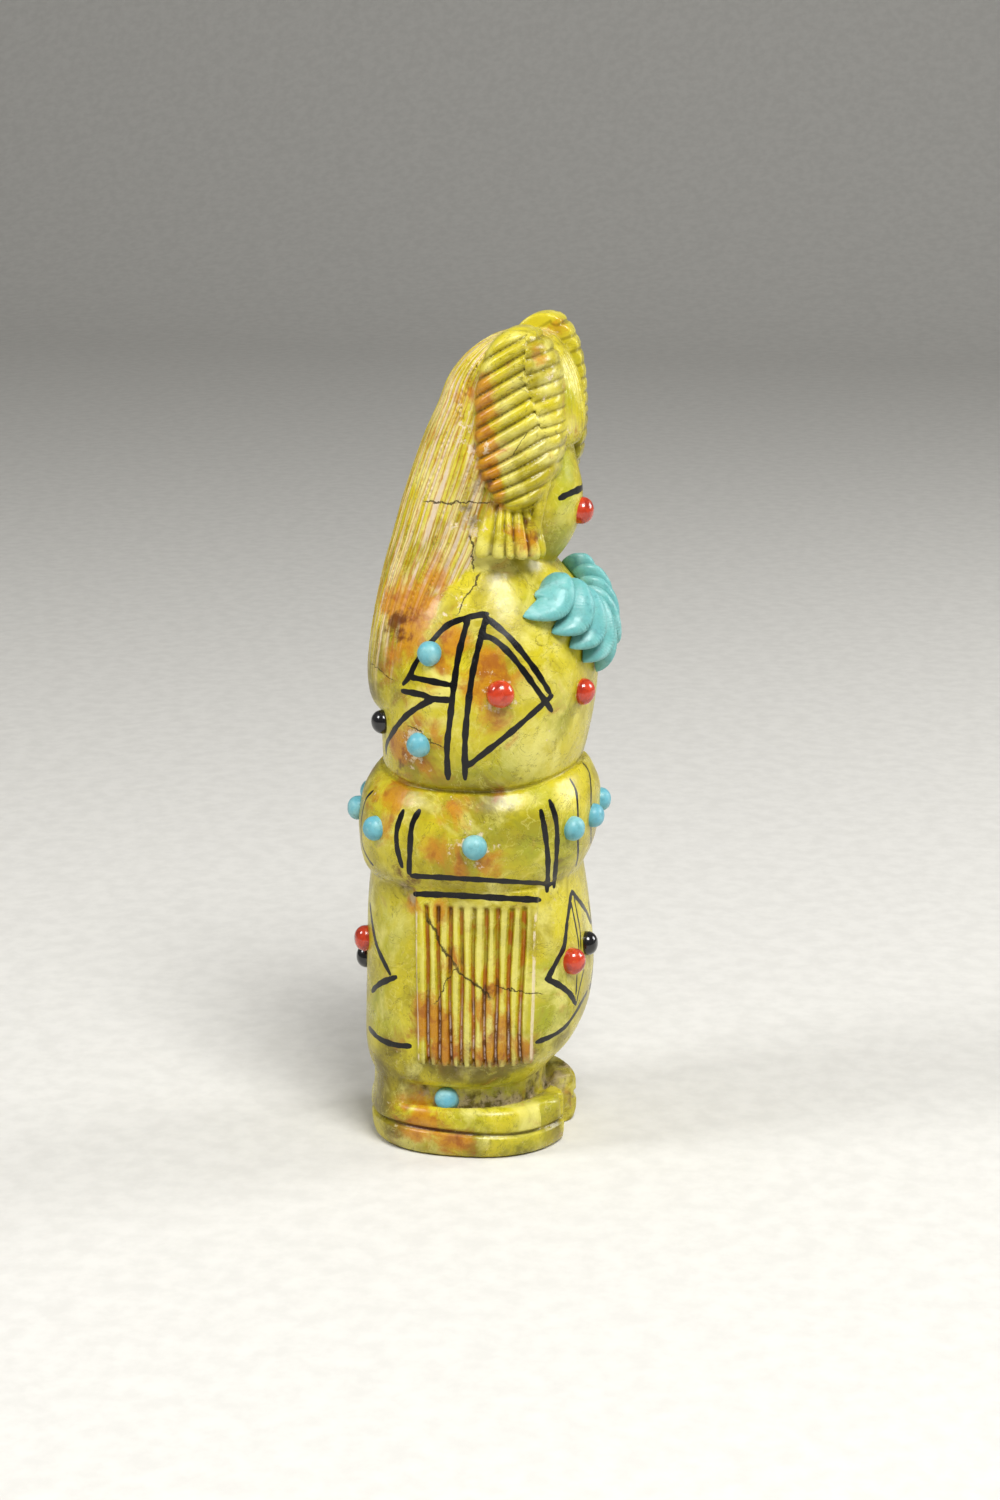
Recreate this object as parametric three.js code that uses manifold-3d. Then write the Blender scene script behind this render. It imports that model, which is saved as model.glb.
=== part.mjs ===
// A small carved stone figure of a corn maiden, standing on its own flat base.
// Millimetres, +Z up. The figure faces -Y, and the origin is the middle of its underside.
import * as THREE from "three";
import { mergeVertices } from "three/addons/utils/BufferGeometryUtils.js";
import Module from "manifold-3d";

const wasm = await Module();
wasm.setup();

// Driving sizes
const figureHeight = 99.8;
const ribPitch = 1.58; // ribs of the hair whorls
const ribDepth = 0.42;
const ribSlope = THREE.MathUtils.degToRad(31); // the ribs climb towards the front
const fringeRaise = 0.55; // the side panels stand this proud of the skirt
const fringeDepth = 0.34; // grooves between the fringe's strips
const fringeStrips = 10;
const hairGrooves = 20;
const hairGrooveDepth = 0.34;
const soleGrooveHeight = 3.2;
const soleGrooveDepth = 0.55;
const toeGrooveDepth = 0.75;
const turquoiseRadius = 1.52;
const coralRadius = 1.68;
const jetRadius = 1.5;
const beadRise = 0.62; // straight part of a bead above the stone, as a share of its radius
const seatDepth = 1.5;
const seatClearance = 0.15;
const necklaceClearance = 0.15;
const petalsPerSide = 4;
const petalWidth = 5.2;
const petalThickness = 3.6;
const petalSteps = [0, 0.3, 0.75, 1];
const widest = 0.6; // where along a petal it is widest, below its middle

// The carving is drawn on a figure 99.8 parts tall, and every level and outline below is in those parts.
const part = figureHeight / 99.8;
const roundness = 2.3;

// Levels of each carved form: height, reach to the back, reach to the front, half width.
const skirtLevels = [
  [8.2, 10.4, 8.2, 10.2],
  [8.7, 11.7, 9.3, 11.6],
  [10, 12.3, 10.4, 12.5],
  [12.4, 12.7, 12.5, 13],
  [16, 12.7, 14, 13.1],
  [20.5, 12.6, 14.6, 13.1],
  [25, 12.5, 14.4, 13],
  [30, 12.3, 13.8, 12.9],
  [35, 11.8, 13, 12.6],
];
const beltLevels = [
  [33.1, 11.2, 12.2, 12.4],
  [33.8, 12.3, 13.2, 13.6],
  [35.2, 13, 14, 14.5],
  [37.3, 13.3, 14.8, 14.9],
  [40, 13.4, 15.2, 15],
  [43, 12.9, 15.3, 14.6],
  [45, 12, 14.7, 13.4],
  [46.5, 10.8, 13.9, 12],
  [47.2, 9.6, 12.6, 10.6],
];
const torsoLevels = [
  [43, 8.8, 11, 10.8],
  [45.2, 10, 12.5, 12.5],
  [46.8, 10.3, 13.1, 13.5],
  [50, 10.4, 13.9, 14.4],
  [54, 10.5, 14.6, 14.8],
  [58, 10.6, 14.9, 14.8],
  [62, 10.4, 14.5, 14],
  [65, 9.8, 13.8, 12.8],
  [67.5, 8.8, 12.7, 11.5],
  [69.5, 7.8, 11.2, 10.1],
  [71, 7, 10, 9.2],
  [73, 6.6, 9.2, 8.7],
  [76, 6.4, 9, 8.4],
];
const ankleLevels = [
  [3, 11.6, 8.8, 10.6],
  [10.5, 11.6, 8.8, 10.6],
];
const heelLevels = [
  [3.8, 12, -2.4, 10.8],
  [6.5, 11.8, -2.4, 10.8],
  [10, 11.6, -2.4, 10.8],
];
const feetLevels = [
  [0, 11.3, 11.8, 12],
  [0.5, 11.8, 12.3, 12.6],
  [1.8, 12.1, 12.6, 12.9],
  [4.4, 12.2, 12.6, 12.9],
  [5.5, 12, 12.4, 12.6],
  [6.1, 11.4, 11.8, 12],
];
const faceLevels = [
  [69.5, 2, 7, 3.8],
  [70.6, 2, 9.3, 5.2],
  [72.2, 2, 10.9, 6.2],
  [74.5, 2, 12.3, 6.9],
  [77, 2, 13.1, 7.2],
  [80, 2, 13.2, 7.3],
  [83.5, 1, 12.4, 6.9],
  [88, 0, 11.6, 6.2],
];
const hairLevels = [
  [52.9, 9.4, -2, 6.8],
  [53.6, 10.9, -1, 8.4],
  [55.5, 11.7, -0.4, 10.2],
  [58.5, 11.9, 0.4, 11.2],
  [62.5, 11.5, 1, 11.5],
  [66.5, 10.9, 2, 11],
  [70.5, 10.1, 4, 10.3],
  [74.5, 9, 6, 9.8],
  [78.5, 7.9, 7.5, 9.5],
  [82.5, 6.6, 9, 9.3],
  [86.5, 5.1, 10, 9],
  [90, 3.5, 10.5, 8.8],
  [93, 2.3, 10.5, 8.4],
  [95.2, 0.7, 10.4, 8.4],
  [96.5, -0.7, 10.2, 7.8],
  [97.4, -2, 9.6, 6.8],
  [98, -3.4, 9, 5.4],
];
const bangLevels = [
  [85, 0, 12, 5.2],
  [85.6, 0, 13, 5.9],
  [88.5, 0, 13.5, 6.3],
  [92.5, -1, 12.9, 6.2],
  [95.5, -3, 11.6, 5.8],
  [97.6, -5, 9.8, 5],
];

// The value of one column of a table of levels, on a smooth line through its rows.
function readLevels(levels, column, share) {
  const line = new THREE.SplineCurve(levels.map((row) => new THREE.Vector2(row[0], row[column])));
  return line.getPoint(share);
}

// Resamples a table of levels to a number of even steps along it.
function smoothLevels(levels, steps) {
  return Array.from({ length: steps + 1 }, (_, i) => {
    const share = i / steps;
    const [height, back] = readLevels(levels, 1, share).toArray();
    const front = readLevels(levels, 2, share).y;
    const half = readLevels(levels, 3, share).y;
    return [height, back, front, half];
  });
}

const signedPower = (value, power) => Math.sign(value) * Math.abs(value) ** power;

// One ring round a form at a level. Angle 0 is the figure's left side, and 90 degrees its back.
// The reach can be cut in by a function of the angle, such as a groove.
function levelRing([height, back, front, half], sides, { square = roundness, grow = 0, cut = () => 0 } = {}) {
  const middle = (back - front) / 2;
  const depth = (back + front) / 2;
  return Array.from({ length: sides }, (_, i) => {
    const angle = (2 * Math.PI * i) / sides;
    const inset = grow - cut(angle, height);
    const x = (half * part + inset) * signedPower(Math.cos(angle), 2 / square);
    const y = middle * part + (depth * part + inset) * signedPower(Math.sin(angle), 2 / square);
    return new THREE.Vector3(x, y, height * part);
  });
}

// A closed body through rings that all have as many points, with a flat fan at either end.
function loft(rings) {
  const sides = rings[0].length;
  const positions = rings.flat().flatMap((p) => p.toArray());
  const faces = [];
  for (let row = 0; row < rings.length - 1; row++) {
    for (let i = 0; i < sides; i++) {
      const a = row * sides + i;
      const b = row * sides + ((i + 1) % sides);
      faces.push(a, b, b + sides, a, b + sides, a + sides);
    }
  }
  const last = (rings.length - 1) * sides;
  for (let i = 1; i < sides - 1; i++) {
    faces.push(0, i + 1, i, last, last + i, last + i + 1);
  }
  const geometry = new THREE.BufferGeometry();
  geometry.setAttribute("position", new THREE.Float32BufferAttribute(positions, 3));
  geometry.setIndex(faces);
  return geometry;
}

// A three.js geometry as a solid that can be joined and cut. One that is inside out is turned round.
function toSolid(geometry) {
  const bare = geometry.clone();
  bare.deleteAttribute("normal");
  bare.deleteAttribute("uv");
  const merged = mergeVertices(bare, 1e-4);
  const make = (triVerts) =>
    new wasm.Manifold(
      new wasm.Mesh({ numProp: 3, vertProperties: merged.attributes.position.array, triVerts }),
    );
  const faces = new Uint32Array(merged.index.array);
  const solid = make(faces);
  return solid.volume() > 0 ? solid : make(faces.slice().reverse());
}

function toGeometry(solid) {
  const mesh = solid.getMesh();
  const geometry = new THREE.BufferGeometry();
  geometry.setAttribute("position", new THREE.BufferAttribute(new Float32Array(mesh.vertProperties), 3));
  geometry.setIndex(new THREE.BufferAttribute(new Uint32Array(mesh.triVerts), 1));
  return geometry;
}

const join = (solids) => solids.reduce((whole, next) => whole.add(next));

// The greatest value up to a limit that still passes a test, found by halving
function reachLimit(passes, highest) {
  let [low, high] = [0, highest * 1.2];
  for (let i = 0; i < 30; i++) {
    const middle = (low + high) / 2;
    if (passes(middle)) low = middle;
    else high = middle;
  }
  return low;
}

// A form carved as a stack of levels
function carved(levels, steps, sides, options) {
  return toSolid(loft(smoothLevels(levels, steps).map((level) => levelRing(level, sides, options))));
}

const mirrored = (geometry) => geometry.clone().scale(-1, 1, 1);

// The outline of a stack of levels at a height, as its back, front and half width
function outlineAt(levels, height) {
  const upper = Math.max(levels.findIndex((row) => row[0] * part >= height), 1);
  const [low, high] = [levels[upper - 1], levels[upper]];
  const share = THREE.MathUtils.clamp((height / part - low[0]) / (high[0] - low[0]), 0, 1);
  return low.slice(1).map((value, i) => (value + (high[i + 1] - value) * share) * part);
}

// How far a stack of levels reaches to the side at a height and a depth towards the front
function sideReach(levels, height, depth, square) {
  const [back, front, half] = outlineAt(levels, height);
  const off = Math.min(Math.abs((depth - (front - back) / 2) / ((front + back) / 2)), 0.98);
  return half * (1 - off ** square) ** (1 / square);
}

// How far it reaches to the front at a height and a distance to one side
function frontReach(levels, height, across) {
  const [back, front, half] = outlineAt(levels, height);
  const off = Math.min(Math.abs(across) / half, 0.98);
  return (front - back) / 2 + ((front + back) / 2) * (1 - off ** roundness) ** (1 / roundness);
}

// Skirt, belt, torso and feet
const skirtSquare = 2.5;
const hairSquare = 2.6;
const skirt = carved(skirtLevels, 6, 28, { square: skirtSquare });
const belt = carved(beltLevels, 8, 28);
const torso = carved(torsoLevels, 9, 28);
const ankles = carved(ankleLevels, 1, 20);
const heel = carved(heelLevels, 2, 20, { square: 2 });

function feet() {
  const solid = carved(feetLevels, 4, 28, { square: 2.4 });
  const reach = 16 * part;
  // The line between sole and shoe runs right round.
  const line = loft(
    [-1, 0, 1].map((side) =>
      levelRing([soleGrooveHeight / part + side * 0.45, 12.2, 12.6, 12.9], 28, {
        square: 2.4,
        grow: side === 0 ? -soleGrooveDepth : 0.2,
      }),
    ),
  );
  const outside = carved([[soleGrooveHeight / part - 0.44, 16, 16, 16], [soleGrooveHeight / part + 0.44, 16, 16, 16]], 1, 24);
  const soleGroove = outside.subtract(toSolid(line));
  // The gap between the feet rounds off the inner side of each, and small clefts part the toes.
  const cleft = (x, halves, from) => {
    const right = halves.map(([half, y]) => new THREE.Vector2(half, y));
    const left = halves.slice(0, -1).map(([half, y]) => new THREE.Vector2(-half, y));
    const outline = new THREE.Shape([...right, ...left.reverse()]);
    const body = new THREE.ExtrudeGeometry(outline, { depth: 8 * part - from, bevelEnabled: false });
    body.translate(x, 0, from);
    return toSolid(body);
  };
  const front = (x) => -12.6 * part * (1 - (Math.abs(x) / (13 * part)) ** 2.4) ** (1 / 2.4);
  const gap = [[5, 0], [3.2, 0.7], [1.9, 1.7], [0.9, 3.4], [0, 5.6]];
  const gapOutline = gap.map(([half, inward]) => [half * part, front(0) + inward * part]);
  const clefts = [cleft(0, [[5 * part, -reach], ...gapOutline], -0.5)];
  for (const side of [-1, 1]) {
    for (const x of [4.4, 8.2]) {
      const across = side * x * part;
      const tip = [[1.1 * part, -reach], [0, front(across) + toeGrooveDepth]];
      clefts.push(cleft(across, tip, soleGrooveHeight));
    }
  }
  return clefts.reduce((left, tool) => left.subtract(tool), solid.subtract(soleGroove));
}

// The fringed panel on either side, cut into upright strips that follow the skirt
function fringe() {
  const [backEdge, frontEdge] = [-4.4 * part, 10 * part];
  const [top, bottom] = [33.6 * part, 11.9 * part];
  const steps = fringeStrips * 2;
  const heights = [0, 0.1, 0.45, 1].map((share) => bottom + (top - bottom) * share);
  const rings = [];
  for (let i = 0; i <= steps; i++) {
    const share = i / steps;
    const depth = backEdge + (frontEdge - backEdge) * share;
    const groove = i % 2 === 0 && i > 0 && i < steps ? fringeDepth : 0;
    const outer = heights.map((z) => {
      const taper = 1 - 0.07 * ((top - z) / (top - bottom));
      const y = depth * taper + 0.2 * part;
      const lift = z === bottom ? fringeRaise * 0.4 : fringeRaise;
      const surface = sideReach(skirtLevels, Math.max(z, 11.9 * part), y, skirtSquare);
      return new THREE.Vector3(surface + lift - groove, -y, z);
    });
    const inner = [outer[3], outer[0]].map((p) => new THREE.Vector3(p.x - 2.6 * part, p.y, p.z));
    rings.push([...outer, ...inner]);
  }
  return loft(rings);
}

// Long hair down the back, grooved in strands that fade out above its end. Its ring has a point
// on every ridge and in every groove round the back, and few across the front, inside the head.
function hair() {
  const turns = [];
  for (let i = 0; i <= hairGrooves * 2; i++) turns.push({ angle: (Math.PI * i) / (hairGrooves * 2), groove: i % 2 });
  for (let i = 1; i < 6; i++) turns.push({ angle: Math.PI * (1 + i / 6), groove: 0 });
  const rings = smoothLevels(hairLevels, 8).map(([height, back, front, half]) => {
    const fade = THREE.MathUtils.smoothstep(height, 60, 67);
    return turns.map(({ angle, groove }) => {
      const inset = groove * hairGrooveDepth * fade;
      const x = (half * part - inset) * signedPower(Math.cos(angle), 2 / hairSquare);
      const depth = ((back + front) / 2) * part - inset;
      const y = ((back - front) / 2) * part + depth * signedPower(Math.sin(angle), 2 / hairSquare);
      return new THREE.Vector3(x, y, height * part);
    });
  });
  return loft(rings);
}

// The fringe of hair over the forehead
function bangs() {
  const cut = (angle) => (Math.sin(angle) < -0.1 ? (0.5 - 0.5 * Math.cos(angle * 18)) * 0.3 : 0);
  return carved(bangLevels, 4, 36, { cut, square: 2.2 });
}

// A whorl of hair on each side of the head: an upright rounded plate, ribbed across.
// Its ribs climb towards the front, where the plate is bevelled in towards the face.
function whorl() {
  const [middleY, middleZ] = [-7.3 * part, 89.2 * part];
  const [halfDepth, halfHeight] = [5.1 * part, 10.6 * part];
  const [inside, rim, outside] = [3.4 * part, 7 * part, 10.2 * part];
  const [bevelStart, bevelSlope] = [2.1 * part, 1.1];
  const along = new THREE.Vector2(-Math.cos(ribSlope), Math.sin(ribSlope));
  const across = new THREE.Vector2(Math.sin(ribSlope), Math.cos(ribSlope));
  const pointAt = (u, v) => new THREE.Vector2(along.x * u + across.x * v, along.y * u + across.y * v);
  // 0 in the middle of the plate and 1 on its outline
  const outlineShare = ({ x: y, y: z }) =>
    (Math.abs(y / halfDepth) ** 2.3 + Math.abs(z / halfHeight) ** 2.3) ** (1 / 2.3);
  const centreOf = (v) => (across.x / across.y) * (1 - (halfDepth / halfHeight) ** 2) * v;
  const limit = reachLimit((v) => outlineShare(pointAt(centreOf(v), v)) < 1, halfHeight);
  const ribs = Math.round((2 * limit) / ribPitch);
  const rings = [];
  for (let i = 0; i <= ribs * 2; i++) {
    const v = limit * THREE.MathUtils.clamp(i / ribs - 1, -0.995, 0.995);
    const start = centreOf(v);
    const rear = start - reachLimit((u) => outlineShare(pointAt(start - u, v)) < 1, halfHeight);
    const front = start + reachLimit((u) => outlineShare(pointAt(start + u, v)) < 1, halfHeight);
    const valley = i % 2 === 1 && i < ribs * 2 - 2 ? ribDepth : 0;
    const pointOn = (share) => pointAt((rear + front) / 2 + ((front - rear) / 2) * share, v);
    const outer = [-1, -0.94, -0.7, 0, 0.7, 0.94, 1].map((share) => {
      const point = pointOn(share);
      const dome = (outside - rim) * Math.sqrt(Math.max(1 - outlineShare(point) ** 7, 0));
      const bevel = Math.max(-point.x - bevelStart, 0) * bevelSlope;
      const x = rim + dome - bevel - valley * (Math.abs(share) < 1 ? 1 : 0.5);
      return new THREE.Vector3(x, middleY + point.x, middleZ + point.y);
    });
    const inner = [0.82, -0.82].map((share) => {
      const point = pointOn(share).multiplyScalar(0.93);
      return new THREE.Vector3(inside, middleY + point.x, middleZ + point.y);
    });
    rings.push([...outer, ...inner]);
  }
  return loft(rings);
}

// The lock of hair below each whorl, flared and grooved, and the two strands beside the face
function sideLock() {
  const levels = [
    [72.7, 0.6, 4, 4.7],
    [73.6, 1, 4.7, 4.9],
    [76.2, 0.9, 4.1, 4.2],
    [79.5, 0.6, 2.4, 3.1],
  ];
  const rings = smoothLevels(levels, 3).map(([height, inner, outer, half]) =>
    Array.from({ length: 24 }, (_, i) => {
      const turn = (2 * Math.PI * i) / 24;
      const groove = i % 2 === 1 && Math.sin(turn) > 0.1 ? 0.28 : 0;
      const reach = Math.sin(turn) > 0 ? outer * part - groove : inner * part;
      const x = 6.1 * part + reach * signedPower(Math.sin(turn), 0.8);
      return new THREE.Vector3(x, -5.3 * part - half * part * signedPower(Math.cos(turn), 0.8), height * part);
    }),
  );
  return loft(rings);
}

function strand() {
  const line = new THREE.CatmullRomCurve3(
    [[7, 8.6, 73.2], [7.5, 9.2, 76.5], [7.5, 9.9, 80], [7.1, 10.9, 84.5]].map(
      ([x, front, height]) => new THREE.Vector3(x, -front, height).multiplyScalar(part),
    ),
  );
  const section = new THREE.Shape(new THREE.EllipseCurve(0, 0, 0.7 * part, 0.7 * part).getPoints(6));
  return new THREE.ExtrudeGeometry(section, { steps: 3, extrudePath: line });
}

// A face of the plainest kind: a smooth oval with a rounded chin
const face = carved(faceLevels, 6, 22, { square: 2 });
const pairs = [fringe(), sideLock(), strand()];
// The whorls don't quite match: the left one stands a little higher and further forward.
const rightWhorl = mirrored(whorl()).translate(0, 0.2 * part, -0.5 * part);
const leftWhorl = whorl().translate(0, -0.6 * part, 0);
const carving = join([
  skirt, belt, torso, heel, ankles, feet(), face, hair(), bangs(), rightWhorl, leftWhorl,
  ...pairs.flatMap((geometry) => [toSolid(geometry), toSolid(mirrored(geometry))]),
].map((item) => (item instanceof THREE.BufferGeometry ? toSolid(item) : item)));

// Beads: name, kind, height, turn from the front towards the figure's right side, tilt upwards
const beadKinds = {
  turquoise: { radius: turquoiseRadius, colour: 0x6cc3c8, roughness: 0.38 },
  coral: { radius: coralRadius, colour: 0xd0401f, roughness: 0.25 },
  jet: { radius: jetRadius, colour: 0x0c0c0d, roughness: 0.15 },
};
const beads = [
  ["mouth", "coral", 77.2, 0, -4],
  ["chest", "coral", 56.6, 20, 0],
  ["sleeve_right", "coral", 57.9, 66, 4],
  ["sleeve_right_upper", "turquoise", 62.1, 99, 14],
  ["sleeve_right_lower", "turquoise", 51.3, 104, -4],
  ["sleeve_left", "coral", 57.9, -66, 4],
  ["sleeve_left_upper", "turquoise", 62.1, -99, 14],
  ["sleeve_left_lower", "turquoise", 51.3, -104, -4],
  ["back", "jet", 52.5, 138, 0],
  ["belt_front_right", "turquoise", 40.6, 30, 0],
  ["belt_front", "turquoise", 40.8, 9, 0],
  ["belt_front_left", "turquoise", 40.8, -20, 0],
  ["belt_right", "turquoise", 39.6, 77, 0],
  ["belt_left", "turquoise", 39.6, -77, 0],
  ["belt_back_right", "turquoise", 40.3, 129, 0],
  ["belt_back", "turquoise", 40.6, 164, 0],
  ["belt_back_left", "turquoise", 41, 192, 0],
  ["skirt_front_right", "coral", 23.8, 26, 0],
  ["skirt_front", "jet", 24.6, 7, 0],
  ["skirt_back", "coral", 24.8, 155, 0],
  ["skirt_back_left", "jet", 21.6, 168, 0],
  ["foot_right", "turquoise", 6.7, 95, 24],
  ["foot_left", "turquoise", 6.7, -95, 24],
];

// A bead is a short peg with a domed head; its seat is a flat-bottomed hole in the stone.
function beadProfile(radius) {
  const straight = beadRise * radius;
  const dome = new THREE.EllipseCurve(0, straight, radius, radius * 0.42, 0, Math.PI / 2).getPoints(2);
  return [new THREE.Vector2(0, -seatDepth), new THREE.Vector2(radius, -seatDepth), ...dome.slice(0, -1),
    new THREE.Vector2(0, straight + radius * 0.42)];
}

const beadSides = 8;
const target = new THREE.Mesh(toGeometry(carving), new THREE.MeshBasicMaterial({ side: THREE.DoubleSide }));
const caster = new THREE.Raycaster();

// Where a bead sits: the point on the stone and the turn that stands it square to the surface
function seatPlace(height, turn, tilt) {
  const angle = THREE.MathUtils.degToRad(turn);
  const lean = THREE.MathUtils.degToRad(tilt);
  const outwards = new THREE.Vector3(-Math.sin(angle), -Math.cos(angle), 0);
  const start = outwards.clone().multiplyScalar(60 * part).setZ(height * part);
  caster.set(start, outwards.clone().negate());
  const point = caster.intersectObject(target)[0].point;
  const axis = outwards.multiplyScalar(Math.cos(lean)).setZ(Math.sin(lean));
  return { point, turn: new THREE.Quaternion().setFromUnitVectors(new THREE.Vector3(0, 1, 0), axis) };
}

const lathe = (profile) => new THREE.LatheGeometry(profile, beadSides);

const figure = new THREE.Group();
let stone = carving;
for (const [name, kind, height, turn, tilt] of beads) {
  const { radius, colour, roughness } = beadKinds[kind];
  const place = seatPlace(height, turn, tilt);
  const hole = radius + seatClearance;
  const seat = lathe([
    new THREE.Vector2(0, -seatDepth - seatClearance),
    new THREE.Vector2(hole, -seatDepth - seatClearance),
    new THREE.Vector2(hole, 2 * radius),
    new THREE.Vector2(0, 2 * radius),
  ]);
  seat.applyQuaternion(place.turn).translate(...place.point.toArray());
  stone = stone.subtract(toSolid(seat));
  const material = new THREE.MeshStandardMaterial({ color: colour, roughness });
  const bead = new THREE.Mesh(lathe(beadProfile(radius)), material);
  bead.name = `${kind}_bead_${name}`;
  bead.position.copy(place.point);
  bead.quaternion.copy(place.turn);
  figure.add(bead);
}

// The necklace is one piece of turquoise, carved as a row of overlapping petals below the neckline.
// Petals are counted from the middle one, and share runs from 0 there to 1 at either end.
function petal(index) {
  const petalSwell = (t) =>
    t < widest
      ? 0.4 + 0.6 * Math.sin((Math.PI / 2) * (t / widest))
      : 0.3 + 0.7 * Math.cos((Math.PI / 2) * ((t - widest) / (1 - widest)));
  const share = Math.abs(index) / petalsPerSide;
  const side = Math.sign(index);
  const onChest = (across, height, lift) => {
    const reach = frontReach(torsoLevels, height * part, across * part);
    return new THREE.Vector3(side * across * part, -reach - lift * part, height * part);
  };
  const spine = new THREE.CatmullRomCurve3([
    onChest(6 * share, 66.8 + 2.9 * share ** 1.3, 0.5 + 0.2 * share),
    onChest(7.4 * share ** 0.85, 64.8 + 3.9 * share ** 1.3, 1.15 + 0.5 * share),
    onChest(8.8 * share ** 0.75, 61.2 + 6.1 * share ** 1.3, 1.35),
    onChest(10.4 * share ** 0.55, 58.4 + 8.1 * share, 0.1),
  ]);
  const outwards = new THREE.Vector3(side * share * 0.7, -1, 0.25).normalize();
  const rings = petalSteps.map((t) => {
    const swell = petalSwell(t);
    const sideways = new THREE.Vector3().crossVectors(spine.getTangent(t), outwards).normalize();
    return Array.from({ length: 6 }, (_, i) => {
      const round = (2 * Math.PI * i) / 6;
      return spine
        .getPoint(t)
        .addScaledVector(sideways, (petalWidth / 2) * swell * Math.cos(round))
        .addScaledVector(outwards, (petalThickness / 2) * swell * Math.sin(round));
    });
  });
  return toSolid(loft(rings));
}

const petals = Array.from({ length: petalsPerSide * 2 + 1 }, (_, i) => petal(i - petalsPerSide));
const neckAndChest = [
  carved(torsoLevels, 9, 28, { grow: necklaceClearance }),
  carved(faceLevels, 6, 22, { square: 2, grow: necklaceClearance }),
];
const necklace = neckAndChest.reduce((left, body) => left.subtract(body), join(petals));

const stoneMaterial = new THREE.MeshStandardMaterial({ color: 0xb9b13a, roughness: 0.32 });
const necklaceMaterial = new THREE.MeshStandardMaterial({ color: 0x77c4c2, roughness: 0.45 });
const stoneFigure = new THREE.Mesh(toGeometry(stone), stoneMaterial);
stoneFigure.name = "stone_figure";
const turquoiseNecklace = new THREE.Mesh(toGeometry(necklace), necklaceMaterial);
turquoiseNecklace.name = "turquoise_necklace";
figure.add(stoneFigure, turquoiseNecklace);

export default figure;
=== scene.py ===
import math

import bpy
import numpy as np
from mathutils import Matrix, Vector, kdtree


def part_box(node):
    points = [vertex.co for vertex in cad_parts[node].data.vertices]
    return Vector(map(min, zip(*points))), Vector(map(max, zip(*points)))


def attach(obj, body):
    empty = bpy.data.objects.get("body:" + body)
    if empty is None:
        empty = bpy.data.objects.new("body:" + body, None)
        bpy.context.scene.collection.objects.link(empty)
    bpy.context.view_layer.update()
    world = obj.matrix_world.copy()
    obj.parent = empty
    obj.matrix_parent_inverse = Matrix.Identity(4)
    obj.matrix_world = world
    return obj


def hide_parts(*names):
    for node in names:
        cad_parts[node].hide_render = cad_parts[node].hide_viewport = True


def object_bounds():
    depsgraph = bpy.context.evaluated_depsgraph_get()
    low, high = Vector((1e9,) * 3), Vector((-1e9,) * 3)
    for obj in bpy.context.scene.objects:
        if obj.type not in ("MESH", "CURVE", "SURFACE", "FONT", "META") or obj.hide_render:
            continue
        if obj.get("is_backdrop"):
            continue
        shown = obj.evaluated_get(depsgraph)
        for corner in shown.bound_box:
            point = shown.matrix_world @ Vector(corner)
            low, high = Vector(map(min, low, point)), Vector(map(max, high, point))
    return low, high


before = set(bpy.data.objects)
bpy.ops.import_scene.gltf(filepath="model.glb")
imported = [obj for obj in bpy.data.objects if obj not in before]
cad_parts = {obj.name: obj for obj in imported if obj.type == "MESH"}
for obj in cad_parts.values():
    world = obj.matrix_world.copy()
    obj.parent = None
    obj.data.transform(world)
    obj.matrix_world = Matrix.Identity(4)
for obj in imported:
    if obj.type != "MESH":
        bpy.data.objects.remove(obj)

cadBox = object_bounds()
mm = 0.001  # everything is drawn in millimetres and scaled at the end

# The figure faces -Y, stands on z = 0, and its right side (-X) is the one in the photograph.
camera = {
    "place": (-381.48, -81.09, 144.0),
    "target": (0.0, -3.42, 47.67),
    "lens": 80.0,
    "sensor": 36.0,
    "frame": (1000, 1500),  # pixels of the photograph, width and height
}


# A smooth line through the rows of a table, read off as arrays of height and value.
def smoothTable(rows, perStep=20):
    rows = np.array(rows, float)
    padded = np.vstack([rows[:1], rows, rows[-1:]])
    share = np.linspace(0, 1, perStep, endpoint=False)[:, None]
    pieces = []
    for i in range(len(rows) - 1):
        before, start, end, after = padded[i:i + 4]
        leave, arrive = (end - before) / 2, (after - start) / 2
        pieces.append(
            (2 * start - 2 * end + leave + arrive) * share ** 3
            + (3 * end - 3 * start - 2 * leave - arrive) * share ** 2
            + leave * share + start)
    return np.vstack(pieces + [rows[-1:]])


def smoothStep(value, low, high):
    t = np.clip((value - low) / (high - low), 0, 1)
    return t * t * (3 - 2 * t)


# Joins two forms with a soft crease of the given width between them.
def blendForms(a, b, width):
    h = np.clip(0.5 + 0.5 * (b - a) / width, 0, 1)
    return b + (a - b) * h - width * h * (1 - h)


# A block of points in space that the stone's forms are worked out on, in mm.
class Grid:
    def __init__(self, low, high, step):
        self.low = np.array(low, float)
        self.step = step
        counts = np.ceil((np.array(high) - self.low) / step).astype(int) + 1
        axes = [self.low[i] + step * np.arange(counts[i]) for i in range(3)]
        self.x = axes[0][:, None, None].astype(np.float32)
        self.y = axes[1][None, :, None].astype(np.float32)
        self.z = axes[2][None, None, :].astype(np.float32)
        self.shape = tuple(counts)

    # The part of the block between two corners
    def within(self, low, high):
        cut = []
        for axis, (a, b) in enumerate(zip(low, high)):
            first = max(int((a - self.low[axis]) / self.step), 0)
            last = min(int((b - self.low[axis]) / self.step) + 2, self.shape[axis])
            cut.append(slice(first, last))
        return tuple(cut), (self.x[cut[0]], self.y[:, cut[1]], self.z[:, :, cut[2]])


# The reaches of a form at a height. A body form's levels have a height, a reach to the back,
# a reach to the front and a half width.
def reachesAt(levels, z):
    table = smoothTable(levels)
    return [np.interp(z, table[:, 0], table[:, i]) for i in range(1, table.shape[1])]


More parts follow.
